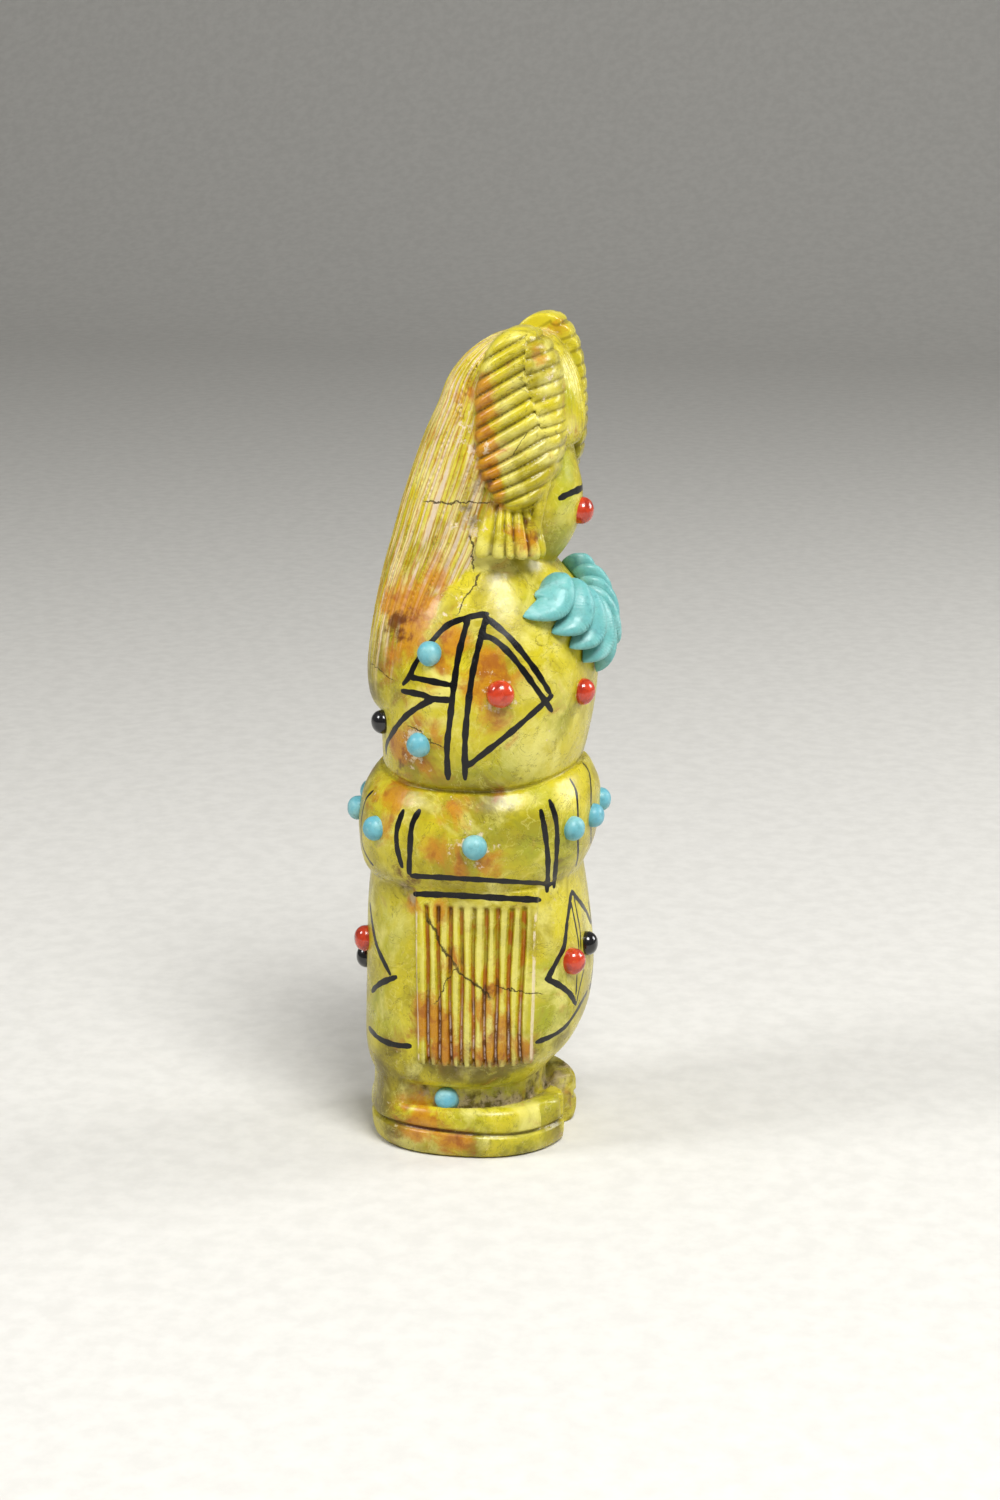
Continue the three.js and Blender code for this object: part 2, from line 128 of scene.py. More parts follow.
# How far out points are on a rounded oblong, 1 being its edge
def ovalShare(a, b, halfA, halfB, power=2.3):
    return ((np.abs(a) / halfA) ** power + (np.abs(b) / halfB) ** power) ** (1 / power)


# How far points are past the edge, by their place and their share
def pastEdge(a, b, share):
    return np.sqrt(a ** 2 + b ** 2) * (1 - 1 / np.maximum(share, 0.05))


# Where points are round a form's ring: 0 at its side, and positive towards the back
def ringTurn(name, x, y, z):
    back, front, half = reachesAt(body[name], z)
    along = y - (back - front) / 2
    u = (np.abs(x) / half) ** squareness[name]
    v = (np.abs(along) / ((back + front) / 2)) ** squareness[name]
    return np.arctan2(np.sign(along) * np.sqrt(v), np.sqrt(u))


# How far points are outside a body form. A groove function may cut it in, by where a point is
# round the ring and how high.
def bodyForm(name, x, y, z, groove=None):
    levels = body[name]
    back, front, half = reachesAt(levels, z)
    depth, along = (back + front) / 2, y - (back - front) / 2
    slope = np.gradient(depth + half, axis=2) / (2 * np.gradient(z, axis=2))
    away = pastEdge(x, along, ovalShare(x, along, half, depth, squareness[name]))
    away = away / np.sqrt(1 + np.minimum(slope ** 2, 9))
    if groove:
        away = away + groove(ringTurn(name, x, y, z), z)
    return np.maximum(away, np.maximum(z - levels[-1][0], levels[0][0] - z))


# How square each form's rings are: 2 is an ellipse, and more is squarer.
squareness = {
    "ankles": 2.3, "heel": 2, "feet": 2.4, "skirt": 2.5, "belt": 2.3, "torso": 2.3, "face": 2,
    "hair": 2.6, "bangs": 2.2}

# How soft the crease is where a form meets the ones before it, in mm
creases = {
    "ankles": 0.45, "heel": 0.45, "feet": 0.3, "skirt": 0.45, "panel": 0.15, "belt": 0.2,
    "torso": 0.12, "face": 0.2, "hair": 0.3, "bangs": 0.15, "whorl": 0.12, "lock": 0.2,
    "strand": 0.2}

# The parts of space that hold the stone and its forms, as low and high corners in mm
blocks = {
    "stone": ((-16.2, -16.6, -0.8), (16.2, 15.2, 100.8)),
    "feet": ((-16, -16, -1), (16, 15, 7.5)),
    "panel": ((-16, -12, 11), (16, 6, 34.5)),
    "waist": ((-16, -17, 43), (16, 15, 49)),
    "hair": ((-16, -12, 51.9), (16, 15, 98.6)),
    "bangs": ((-8, -15, 84), (8, 7, 98.5)),
    "whorl": ((-16, -14, 76), (16, 0, 101)),
    "lock": ((-16, -14, 71), (16, 0, 80)),
    "strand": ((-16, -14, 72.5), (16, 0, 85)),
}

body = {
    # each level: height, reach to the back, reach to the front, half width
    "skirt": [
        (8.2, 10.4, 8.2, 10.2), (8.7, 11.7, 9.3, 11.6), (10, 12.3, 10.4, 12.5), (12.4, 12.7, 12.5, 13),
        (16, 12.7, 14, 13.1), (20.5, 12.6, 14.6, 13.1), (25, 12.5, 14.4, 13), (30, 12.3, 13.8, 12.9),
        (35, 11.8, 13, 12.6)],
    "belt": [
        (33.1, 11.2, 12.2, 12.4), (33.8, 12.3, 13.2, 13.6), (35.2, 13, 14, 14.5),
        (37.3, 13.3, 14.8, 14.9), (40, 13.4, 15.2, 15), (43, 12.9, 15.3, 14.6),
        (45, 12, 14.7, 13.4), (46.5, 10.8, 13.9, 12), (47.2, 9.6, 12.6, 10.6)],
    "torso": [
        (43, 8.8, 11, 10.8), (45.2, 10, 12.5, 12.5), (46.8, 10.3, 13.1, 13.5), (50, 10.4, 13.9, 14.4),
        (54, 10.5, 14.6, 14.8), (58, 10.6, 14.9, 14.8), (62, 10.4, 14.5, 14), (65, 9.8, 13.8, 12.8),
        (67.5, 8.8, 12.7, 11.5), (69.5, 7.8, 11.2, 10.1), (71, 7, 10, 9.2), (73, 6.6, 9.2, 8.7),
        (76, 6.4, 9, 8.4)],
    "ankles": [(3, 11.6, 8.8, 10.6), (10.5, 11.6, 8.8, 10.6)],
    "heel": [(3.8, 12, -2.4, 10.8), (6.5, 11.8, -2.4, 10.8), (10, 11.6, -2.4, 10.8)],
    "feet": [
        (0, 11.3, 11.8, 12), (0.5, 11.8, 12.3, 12.6), (1.8, 12.1, 12.6, 12.9), (4.4, 12.2, 12.6, 12.9),
        (5.5, 12, 12.4, 12.6), (6.1, 11.4, 11.8, 12)],
    "face": [
        (69.5, 2, 7, 3.8), (70.6, 2, 9.3, 5.2), (72.2, 2, 10.9, 6.2), (74.5, 2, 12.3, 6.9),
        (77, 2, 13.1, 7.2), (80, 2, 13.2, 7.3), (83.5, 1, 12.4, 6.9), (88, 0, 11.6, 6.2)],
    "hair": [
        (52.9, 9.4, -2, 6.8), (53.6, 10.9, -1, 8.4), (55.5, 11.7, -0.4, 10.2), (58.5, 11.9, 0.4, 11.2),
        (62.5, 11.5, 1, 11.5), (66.5, 10.9, 2, 11), (70.5, 10.1, 4, 10.3), (74.5, 9, 6, 9.8),
        (78.5, 7.9, 7.5, 9.5), (82.5, 6.6, 9, 9.3), (86.5, 5.1, 10, 9), (90, 3.5, 10.5, 8.8),
        (93, 2.3, 10.5, 8.4), (95.2, 0.7, 10.4, 8.4), (96.5, -0.7, 10.2, 7.8), (97.4, -2, 9.6, 6.8),
        (98, -3.4, 9, 5.4)],
    "bangs": [
        (85, 0, 12, 5.2), (85.6, 0, 13, 5.9), (88.5, 0, 13.5, 6.3), (92.5, -1, 12.9, 6.2),
        (95.5, -3, 11.6, 5.8), (97.6, -5, 9.8, 5)],
    "seam": 0.32,  # radius of the line cut between the waist and the belt
    "meshStep": 0.22,
    "quickStep": 0.42,
    "mostTriangles": 190000,
}

hairCut = {
    "strandWidth": 1.02,
    "middle": (7.5, 9.8),  # depth and half width of the ring that the strands are counted on
    "depth": 0.5,
    "fadeLow": 57.5,  # the strands die out between these heights
    "fadeHigh": 64.0,
    "bangStrands": 26,
    "bangDepth": 0.26,
}


# How far round the hair a turn is, counted in strands from the side
def strandCount(turn):
    fine = np.linspace(-math.pi / 2, math.pi / 2, 400)
    depth, half = hairCut["middle"]
    power = 2 / squareness["hair"]
    across = half * np.abs(np.cos(fine)) ** power
    along = depth * np.sign(fine) * np.abs(np.sin(fine)) ** power
    run = np.concatenate([[0], np.cumsum(np.hypot(np.diff(across), np.diff(along)))])
    return np.interp(turn, fine, run - run[len(fine) // 2]) / hairCut["strandWidth"]


# Whole numbers are the grooves between strands.
def hairLane(turn, z):
    lane = strandCount(turn)
    return lane + 0.2 * np.sin(lane * 1.3 + z * 0.09) + 0.1 * np.sin(lane * 3.1 - z * 0.05)


# 1 where the hair is cut into strands, 0 on its plain lower end
def hairFade(turn, z):
    lane = strandCount(turn)
    ends = hairCut["fadeLow"] + 3.0 * np.sin(lane * 2.2) + 1.6 * np.sin(lane * 5.1)
    return smoothStep(z, ends, ends + hairCut["fadeHigh"] - hairCut["fadeLow"])


def hairGroove(turn, z):
    lane = hairLane(turn, z)
    valley = 1 - np.abs(np.sin(math.pi * lane))
    deep = 0.75 + 0.25 * np.sin(lane * 1.9 + z * 0.16)
    return valley * hairFade(turn, z) * deep * hairCut["depth"]


def bangGroove(turn, z):
    lane = turn / math.pi * hairCut["bangStrands"]
    valley = 1 - np.abs(np.sin(math.pi * (lane + 0.1 * np.sin(z * 0.5))))
    return np.where(turn < 0, valley * hairCut["bangDepth"], 0)


whorl = {
    "middleY": -7.3,
    "middleZ": 89.2,
    "halfDepth": 5.1,
    "halfHeight": 10.6,
    "inside": 3.4,
    "rim": 7.0,
    "outside": 10.2,
    "bevelStart": 1.2,  # from here to the front the plate turns in towards the face
    "bevelSlope": 0.86,
    "bevelSoft": (0.15, 1.5),  # how softly it turns, at the top and at the bottom
    "domePower": 12,  # the higher, the flatter the plate and the crisper its edge
    "ribPitch": 1.58,
    "ribDepth": 0.85,
    "ribRoundness": 0.62,
    "rearSlope": (25, 31),  # degrees, on the lowest ribs and on the others
    "frontSlope": 17,
    # the front ends of the upper ribs are cut out of step by this share of a rib, at the bevel
    # from this height up and further forward below
    "frontStep": 0.45,
    "frontStart": (5.0, 0.3),
    "highestRib": 9.0,
    "right": (0.2, -0.5),  # the two don't quite match: each one's shift in y and z
    "left": (-0.6, 0.0),
}


# Which rib of a whorl points are on, whole numbers being the grooves between ribs, and where
# the points are on the whorl: how far forward of its middle and how far above it
def ribLane(side, y, z):
    shiftY, shiftZ = whorl["right"] if side < 0 else whorl["left"]
    forward = whorl["middleY"] + shiftY - y
    up = z - whorl["middleZ"] - shiftZ
    low, high = np.radians(whorl["rearSlope"])
    rear = low + (high - low) * smoothStep(up, -9, -3)
    top, lean = whorl["frontStart"]
    start = whorl["bevelStart"] + lean * np.maximum(top - up, 0)
    turnedIn = np.maximum(forward - start, 0)
    across = up * np.cos(rear) - np.minimum(forward, start) * np.sin(rear)
    across = across - turnedIn * math.sin(math.radians(whorl["frontSlope"]))
    step = whorl["frontStep"] * smoothStep(up, -2, 0) * (turnedIn > 0)
    return across / whorl["ribPitch"] + step, forward, up


# One whorl of hair: an upright rounded plate, ribbed across, with a facet towards the face.
def whorlForm(side, x, y, z):
    lane, forward, up = ribLane(side, y, z)
    outline = ovalShare(forward, up, whorl["halfDepth"], whorl["halfHeight"])
    highest = whorl["highestRib"] / whorl["ribPitch"]
    ribbed = 1 - smoothStep(lane, highest - 0.45, highest)
    valley = 1 - np.abs(np.sin(math.pi * lane)) ** whorl["ribRoundness"]
    valley = valley * whorl["ribDepth"] * ribbed
    dome = np.sqrt(np.maximum(1 - np.minimum(outline, 1) ** whorl["domePower"], 0))
    turned = np.maximum(forward - whorl["bevelStart"], 0)
    crisp, soft = whorl["bevelSoft"]
    softness = soft + (crisp - soft) * smoothStep(up, -4, 3)
    bevel = turned ** 2 / (turned + softness) * whorl["bevelSlope"]
    surface = whorl["rim"] + (whorl["outside"] - whorl["rim"]) * dome - bevel - valley
    edge = (outline - 1) * whorl["halfDepth"] + valley * 0.35
    away = np.maximum(side * x - surface, edge)
    return np.maximum(away, whorl["inside"] - side * x), ribbed


lock = {
    # the flared lock below each whorl: height, inner reach, outer reach, half depth
    "levels": [(72.7, 0.6, 4, 4.7), (73.6, 1, 4.7, 4.9), (76.2, 0.9, 4.1, 4.2), (79.5, 0.6, 2.4, 3.1)],
    "x": 6.1,
    "y": -5.3,
    "folds": 15,
    "foldDepth": 0.75,
}


def lockForm(side, x, y, z):
    inner, outer, half = reachesAt(lock["levels"], z)
    out = side * x - lock["x"]
    along = y - lock["y"]
    reach = np.where(out > 0, outer, inner)
    share = np.sqrt((out / reach) ** 2 + (along / half) ** 2)
    turn = np.arctan2(out / reach, along / half)
    uneven = 0.8 * np.sin(turn * 3.3) + 0.35 * np.sin(turn * 7.1 + z * 0.25)
    fold = (1 - np.abs(np.sin(turn * lock["folds"] / 2 + uneven))) ** 1.6 * (out > 0)
    hem = lock["levels"][0][0] + 0.5 * fold - 0.25 * np.cos(turn * 2)
    away = pastEdge(out, along, share) * 0.85 + fold * lock["foldDepth"]
    return np.maximum(away, np.maximum(hem - z, z - lock["levels"][-1][0])), fold


strand = {
    # the thin strand in front of each lock: height, distance from the middle, reach to the front
    "levels": [(73.2, 7, 8.6), (76.5, 7.5, 9.2), (80, 7.5, 9.9), (84.5, 7.1, 10.9)],
    "radius": 0.66,
}


def strandForm(side, x, y, z):
    levels = strand["levels"]
    apart, front = reachesAt(levels, z)
    away = np.sqrt((side * x - apart) ** 2 + (y + front) ** 2) - strand["radius"]
    return np.maximum(away, np.maximum(levels[0][0] - z, z - levels[-1][0]))


panel = {
    # the fringed panel on either side of the skirt
    "rear": -4.4,
    "front": 10.0,
    "top": 33.6,
    "bottom": 11.9,
    "strips": 10,
    "raise": 0.6,
    "grooveDepth": 0.6,
    "grooveWidth": 0.3,  # share of a strip's width
    "grooveTop": 31.9,  # the grooves start here, below the two drawn bars
    "taper": 0.07,
}


# Which strip of a panel points are on, whole numbers being the grooves, and how far forward
def panelLane(y, z):
    down = (panel["top"] - z) / (panel["top"] - panel["bottom"])
    forward = (-y - 0.2) / (1 - panel["taper"] * down)
    lane = (forward - panel["rear"]) / (panel["front"] - panel["rear"]) * panel["strips"]
    return lane + 0.05 * np.sin(z * 0.35 + np.round(lane) * 2.3), forward


def panelForm(side, x, y, z, skirt):
    lane, forward = panelLane(y, z)
    nearGroove = np.abs(lane - np.round(lane)) * 2
    cut = (np.round(lane) > 0) & (np.round(lane) < panel["strips"])
    cut = cut * smoothStep(panel["grooveTop"] - z, 0, 0.5)
    valley = (1 - smoothStep(nearGroove, 0.12, panel["grooveWidth"] * 2)) * cut
    edge = np.maximum(panel["rear"] - forward, forward - panel["front"])
    edge = np.maximum(edge, np.maximum(z - panel["top"], panel["bottom"] - z + 0.35 * valley))
    away = np.maximum(skirt - panel["raise"], edge)
    return np.maximum(away, 2 - side * x), valley * smoothStep(-edge, -0.3, 0.1), cut


feet = {
    "soleHeight": 3.2,
    "soleGroove": 0.62,
    "soleWidth": 0.42,
    "front": 12.6,
    "halfWidth": 13,
    # the gap between the feet: half its width, by how far in it is
    "gap": [(5, 0), (3.2, 0.7), (1.9, 1.7), (0.9, 3.4), (0, 5.6)],
    "ledgeDip": 0.75,  # the top of the foot is hollowed next to the ankle
    "ankle": (11.6, 8.8, 10.6),
    "toes": (4.4, 8.2),
    "toeWidth": 2.0,
    "toeDepth": 0.8,
}


def feetForm(x, y, z):
    away = bodyForm("feet", x, y, z)
    back, front, half = feet["ankle"]
    along = y - (back - front) / 2
    fromAnkle = pastEdge(x, along, ovalShare(x, along, half, (back + front) / 2))
    dip = feet["ledgeDip"] * (1 - smoothStep(fromAnkle, 0.5, 1.25))
    away = np.maximum(away, z - body["feet"][-1][0] + dip)
    wave = feet["soleHeight"] + 0.25 * np.sin(y * 0.22 + 0.5)
    sole = np.maximum(1 - np.abs(z - wave) / feet["soleWidth"], 0) ** 0.8
    away = away + sole * feet["soleGroove"]
    gap = np.array(feet["gap"])
    inward = y + feet["front"]
    halfGap = np.interp(inward, gap[:, 1], gap[:, 0]) - 0.5 * np.maximum(inward - gap[-1, 1], 0)
    parted = halfGap - np.abs(x)
    away = np.maximum(away, np.where(y < 0, parted, -5))
    power = squareness["feet"]
    for place in feet["toes"]:
        tip = -feet["front"] * (1 - (place / feet["halfWidth"]) ** power) ** (1 / power)
        wedge = feet["toeWidth"] / 2 * np.clip(1 - (y - tip) / feet["toeDepth"], 0, 2)
        wedge = wedge - np.abs(np.abs(x) - place)
        cut = np.minimum(wedge, z - feet["soleHeight"] + 0.3)
        away = np.maximum(away, np.where(y < 0, cut, -5))
    return away, sole


# The corners of the part of space that holds a form
def blockOf(name):
    if name in blocks:
        return blocks[name]
    return (-16, -17, body[name][0][0] - 0.6), (16, 15, body[name][-1][0] + 0.6)


def stoneField(grid):
    field = np.full(grid.shape, 5.0, np.float32)
    # where the stone is cut into strands, ribs and strips, and where into other grooves
    marks = {name: np.zeros(grid.shape, np.float32) for name in ("hair", "rib", "panel", "groove")}

    # Joins a form to the stone, and marks where it is cut.
    def add(name, form=None, kind="groove"):
        cut, at = grid.within(*blockOf(name))
        made = form(*at) if form else bodyForm(name, *at)
        away, groove = made if isinstance(made, tuple) else (made, 0)
        nearer = away < field[cut]
        for mark, values in marks.items():
            values[cut] = np.where(nearer, groove if mark == kind else 0, values[cut])
        field[cut] = blendForms(away, field[cut], creases[name])

    add("ankles")
    add("heel")
    add("feet", feetForm)
    add("skirt")
    for side in (-1, 1):
        cut, at = grid.within(*blockOf("panel"))
        away, groove, strips = panelForm(side, *at, bodyForm("skirt", *at))
        field[cut] = blendForms(away, field[cut], creases["panel"])
        onPanel = (away < field[cut] + 0.1) & (side * at[0] > 0)
        field[cut] = field[cut] + groove * panel["grooveDepth"] * onPanel
        marks["panel"][cut] = np.where(onPanel, strips, marks["panel"][cut])
    add("belt")
    cut, at = grid.within(*blockOf("waist"))
    waist = np.hypot(bodyForm("torso", *at), bodyForm("belt", *at))
    add("torso")
    field[cut] = np.maximum(field[cut], body["seam"] - waist)
    marks["groove"][cut] = np.maximum(marks["groove"][cut], smoothStep(-waist, -0.5, -0.1))
    add("face")

    def hairForm(*at):
        return bodyForm("hair", *at, hairGroove), hairFade(ringTurn("hair", *at), at[2])
    add("hair", hairForm, "hair")
    add("bangs", lambda *at: bodyForm("bangs", *at, bangGroove))
    for side in (-1, 1):
        add("whorl", lambda *at: whorlForm(side, *at), "rib")
        add("lock", lambda *at: lockForm(side, *at))
        add("strand", lambda *at: strandForm(side, *at))
    return field, marks


# The skin of a field as points and quads, one point in every cell that the surface passes through.
def skinOf(field, grid):
    inside = field < 0
    counts = np.array(field.shape) - 1
    filled = np.zeros(counts, np.int8)
    for a, b, c in np.ndindex(2, 2, 2):
        filled += inside[a:a + counts[0], b:b + counts[1], c:c + counts[2]]
    cells = np.argwhere((filled > 0) & (filled < 8))
    number = np.full(counts, -1, np.int32)
    number[tuple(cells.T)] = np.arange(len(cells))
    total, hits = np.zeros((len(cells), 3)), np.zeros(len(cells))
    for axis in range(3):
        for corner in np.ndindex(2, 2, 2):
            if corner[axis]:
                continue
            start = cells + corner
            end = start.copy()
            end[:, axis] += 1
            a, b = field[tuple(start.T)], field[tuple(end.T)]
            crossed = (a < 0) != (b < 0)
            point = start.astype(float)
            point[:, axis] += a / np.where(crossed, a - b, 1)
            total[crossed] += point[crossed]
            hits[crossed] += 1
    points = grid.low + grid.step * total / hits[:, None]
    quads = []
    for axis in range(3):
        first, second = (axis + 1) % 3, (axis + 2) % 3
        lower, upper = [slice(1, -1)] * 3, [slice(1, -1)] * 3
        lower[axis], upper[axis] = slice(0, -1), slice(1, None)
        change = inside[tuple(lower)].astype(np.int8) - inside[tuple(upper)]
        for way in (1, -1):
            at = np.argwhere(change == way)
            at[:, [first, second]] += 1
            ring = []
            for p, q in ((1, 1), (0, 1), (0, 0), (1, 0)):
                cell = at.copy()
                cell[:, first] -= p
                cell[:, second] -= q
                ring.append(number[tuple(cell.T)])
            quads.append(np.stack(ring if way == 1 else ring[::-1], 1))
    return points, np.concatenate(quads)


def meshFrom(name, points, faces):
    mesh = bpy.data.meshes.new(name)
    mesh.from_pydata((points * mm).tolist(), [], faces.tolist())
    mesh.validate()
    mesh.shade_smooth()
    obj = bpy.data.objects.new(name, mesh)
    bpy.context.scene.collection.objects.link(obj)
    return obj


# Turns an object's modifiers into its plain mesh.
def settle(obj):
    bpy.context.view_layer.update()
    evaluated = obj.evaluated_get(bpy.context.evaluated_depsgraph_get())
    mesh = bpy.data.meshes.new_from_object(evaluated)
    obj.modifiers.clear()
    obj.data = mesh
    mesh.shade_smooth()
    return obj


# A point of the photograph as a ray from the camera, in mm
def pixelRay(px, py):
    place, target = Vector(camera["place"]), Vector(camera["target"])
    ahead = (target - place).normalized()
    right = ahead.cross(Vector((0, 0, 1))).normalized()
    above = right.cross(ahead)
    width, height = camera["frame"]
    focal = camera["lens"] / camera["sensor"] * height
    way = ahead * focal + right * (px - width / 2) + above * (height / 2 - py)
    return place, way.normalized()


def pixelOnStone(stone, px, py):
    start, way = pixelRay(px, py)
    hit, place, _, _ = stone.ray_cast(start * mm, way)
    return np.array(place) / mm if hit else None


# Every drawn line: its points in the photograph's pixels. Widths are in mm.
linework = {
    "width": 0.74,
    "thin": 0.42,
    "fine": 0.36,
    "eyeWidth": 0.8,
    "spacing": 0.08,  # between the points that a line is laid out with
    "kept": 0.5,  # the mesh isn't thinned nearer to a line than this
    # each kind's width, and the turn from the front that its mirror image is taken across
    "kinds": {
        "sleeve": ("width", 0), "belt": ("width", 0), "beltFront": ("thin", None),
        "beltBack": ("thin", 0), "leaf": ("width", 9.0), "leafTop": ("width", None),
        "leafVeins": ("fine", None), "skirtFront": ("width", 0), "skirtBack": ("width", 0),
        "eye": ("eyeWidth", 0)},
    "sleeve": [
        [(487, 614), (479, 615), (466, 618), (448, 625), (433, 640), (417, 661), (409, 677),
         (403, 684)],
        [(410, 677), (430, 681), (450, 685)],
        [(402, 691), (423, 695), (434, 699), (451, 700)],
        [(434, 699), (420, 706), (406, 716), (395, 729), (387, 743), (386, 753)],
        [(468, 619), (459, 653), (454, 685), (450, 720), (447, 748), (448, 779)],
        [(486, 617), (480, 641), (473, 671), (468, 706), (465, 741), (465, 779)],
        [(487, 618), (510, 638), (534, 668), (550, 693)],
        [(480, 636), (493, 639), (510, 654), (528, 677), (552, 711)],
        [(552, 696), (516, 728), (491, 748), (468, 766)],
    ],
    "belt": [
        [(403, 811), (397, 829), (397, 847), (402, 867)],
        [(419, 811), (412, 825), (410, 847), (409, 873)],
        [(541, 811), (545, 832), (548, 861), (547, 891)],
        [(550, 801), (556, 820), (557, 847), (554, 887)],
        [(412, 876), (450, 878), (500, 881), (551, 884)],
        [(415, 894), (450, 895), (500, 898), (540, 900)],
    ],
    "beltFront": [
        [(570, 779), (575, 788), (577, 797), (578, 815), (578, 841), (578, 855), (576, 866)],
        [(583, 763), (589, 772), (591, 788), (591, 802), (591, 828), (591, 845)],
    ],
    "beltBack": [
        [(373, 791), (366, 799), (362, 815), (361, 831), (363, 847), (369, 860), (373, 865)],
    ],
    "leaf": [
        [(567, 922), (566, 933), (564, 947), (558, 959), (549, 976), (546, 979)],
        [(546, 979), (559, 985), (570, 994), (576, 1004)],
    ],
    "leafTop": [
        [(571, 894), (569, 910), (567, 922)],
        [(572, 892), (580, 902), (586, 911), (591, 923)],
    ],
    "skirtFront": [
        [(537, 1042), (552, 1036), (565, 1027), (574, 1015), (580, 1005), (587, 992)],
    ],
    "leafVeins": [
        [(571, 902), (575, 922), (578, 939), (579, 950)],
        [(574, 897), (577, 913), (580, 930), (581, 949)],
        [(577, 975), (576, 995)],
        [(584, 969), (578, 995), (577, 1002)],
    ],
    "skirtBack": [
        [(370, 904), (373, 928), (378, 949), (390, 974)],
        [(396, 977), (381, 983), (372, 991)],
        [(369, 1028), (380, 1039), (396, 1045), (410, 1046)],
    ],
    "eye": [[(560, 498), (571, 493), (582, 488)]],
}


# How far along a line each of its points is
def runAlong(line):
    return np.concatenate([[0], np.cumsum(np.linalg.norm(np.diff(line, axis=0), axis=1))])


# A smooth line through pixels, as evenly spaced points
def smoothStroke(points, spacing=2.0):
    line = smoothTable([(0, *p) for p in points], 30)[:, 1:]
    run = runAlong(line)
    marks = np.linspace(0, run[-1], max(int(run[-1] / spacing), 2))
    return np.stack([np.interp(marks, run, line[:, i]) for i in (0, 1)], 1)


# The mirror image of points across the upright plane at a turn from the front
def mirrorAcross(points, turn):
    angle = math.radians(turn)
    normal = np.array([math.cos(angle), -math.sin(angle), 0])
    return points - 2 * np.outer(points @ normal, normal)


# All drawn lines as points on the stone, each with its half width, near side and far side alike
def layLines(stone):
    places, halves = [], []
    for kind, (width, mirrorTurn) in linework["kinds"].items():
        for stroke in linework[kind]:
            found = [pixelOnStone(stone, *p) for p in smoothStroke(stroke)]
            line = np.array([p for p in found if p is not None])
            if len(line) < 2:
                continue
            sides = [line]
            if mirrorTurn is not None:
                other = mirrorAcross(line, mirrorTurn) * mm
                sides.append(np.array([stone.closest_point_on_mesh(p)[1] for p in other]) / mm)
            for points in sides:
                run = runAlong(points)
                marks = np.arange(0, run[-1], linework["spacing"])
                dense = np.stack([np.interp(marks, run, points[:, i]) for i in range(3)], 1)
                wobble = 1 + 0.1 * np.sin(marks * 1.7 + len(places)) + 0.06 * np.sin(marks * 4.1)
                taper = np.minimum(1, 0.72 + 0.5 * np.minimum(marks, run[-1] - marks))
                places.append(dense)
                halves.append(linework[width] / 2 * wobble * taper)
    return np.concatenate(places), np.concatenate(halves)


# How far each vertex is outside the nearest drawn line, in mm
def lineGap(points, places, halves, limit=2.0):
    tree = kdtree.KDTree(len(places))
    for i, place in enumerate(places):
        tree.insert(place, i)
    tree.balance()
    gap = np.full(len(points), limit)
    for i, point in enumerate(points):
        _, index, distance = tree.find(point)
        gap[i] = min(distance - halves[index], limit)
    return gap


def vertexPlaces(mesh):
    places = np.empty(len(mesh.vertices) * 3)
    mesh.vertices.foreach_get("co", places)
    return places.reshape(-1, 3) / mm


def setAttribute(mesh, name, values):
    layer = mesh.attributes.new(name, "FLOAT", "POINT")
    layer.data.foreach_set("value", np.asarray(values, np.float32))


# The value of a field at any points, between the grid's own
def readField(field, grid, points):
    at = (points - grid.low) / grid.step
    base = np.clip(np.floor(at).astype(int), 0, np.array(field.shape) - 2)
    part = np.clip(at - base, 0, 1)
    total = np.zeros(len(points))
    for corner in np.ndindex(2, 2, 2):
        weight = np.prod(np.where(corner, part, 1 - part), axis=1)
        total += weight * field[tuple((base + corner).T)]
    return total


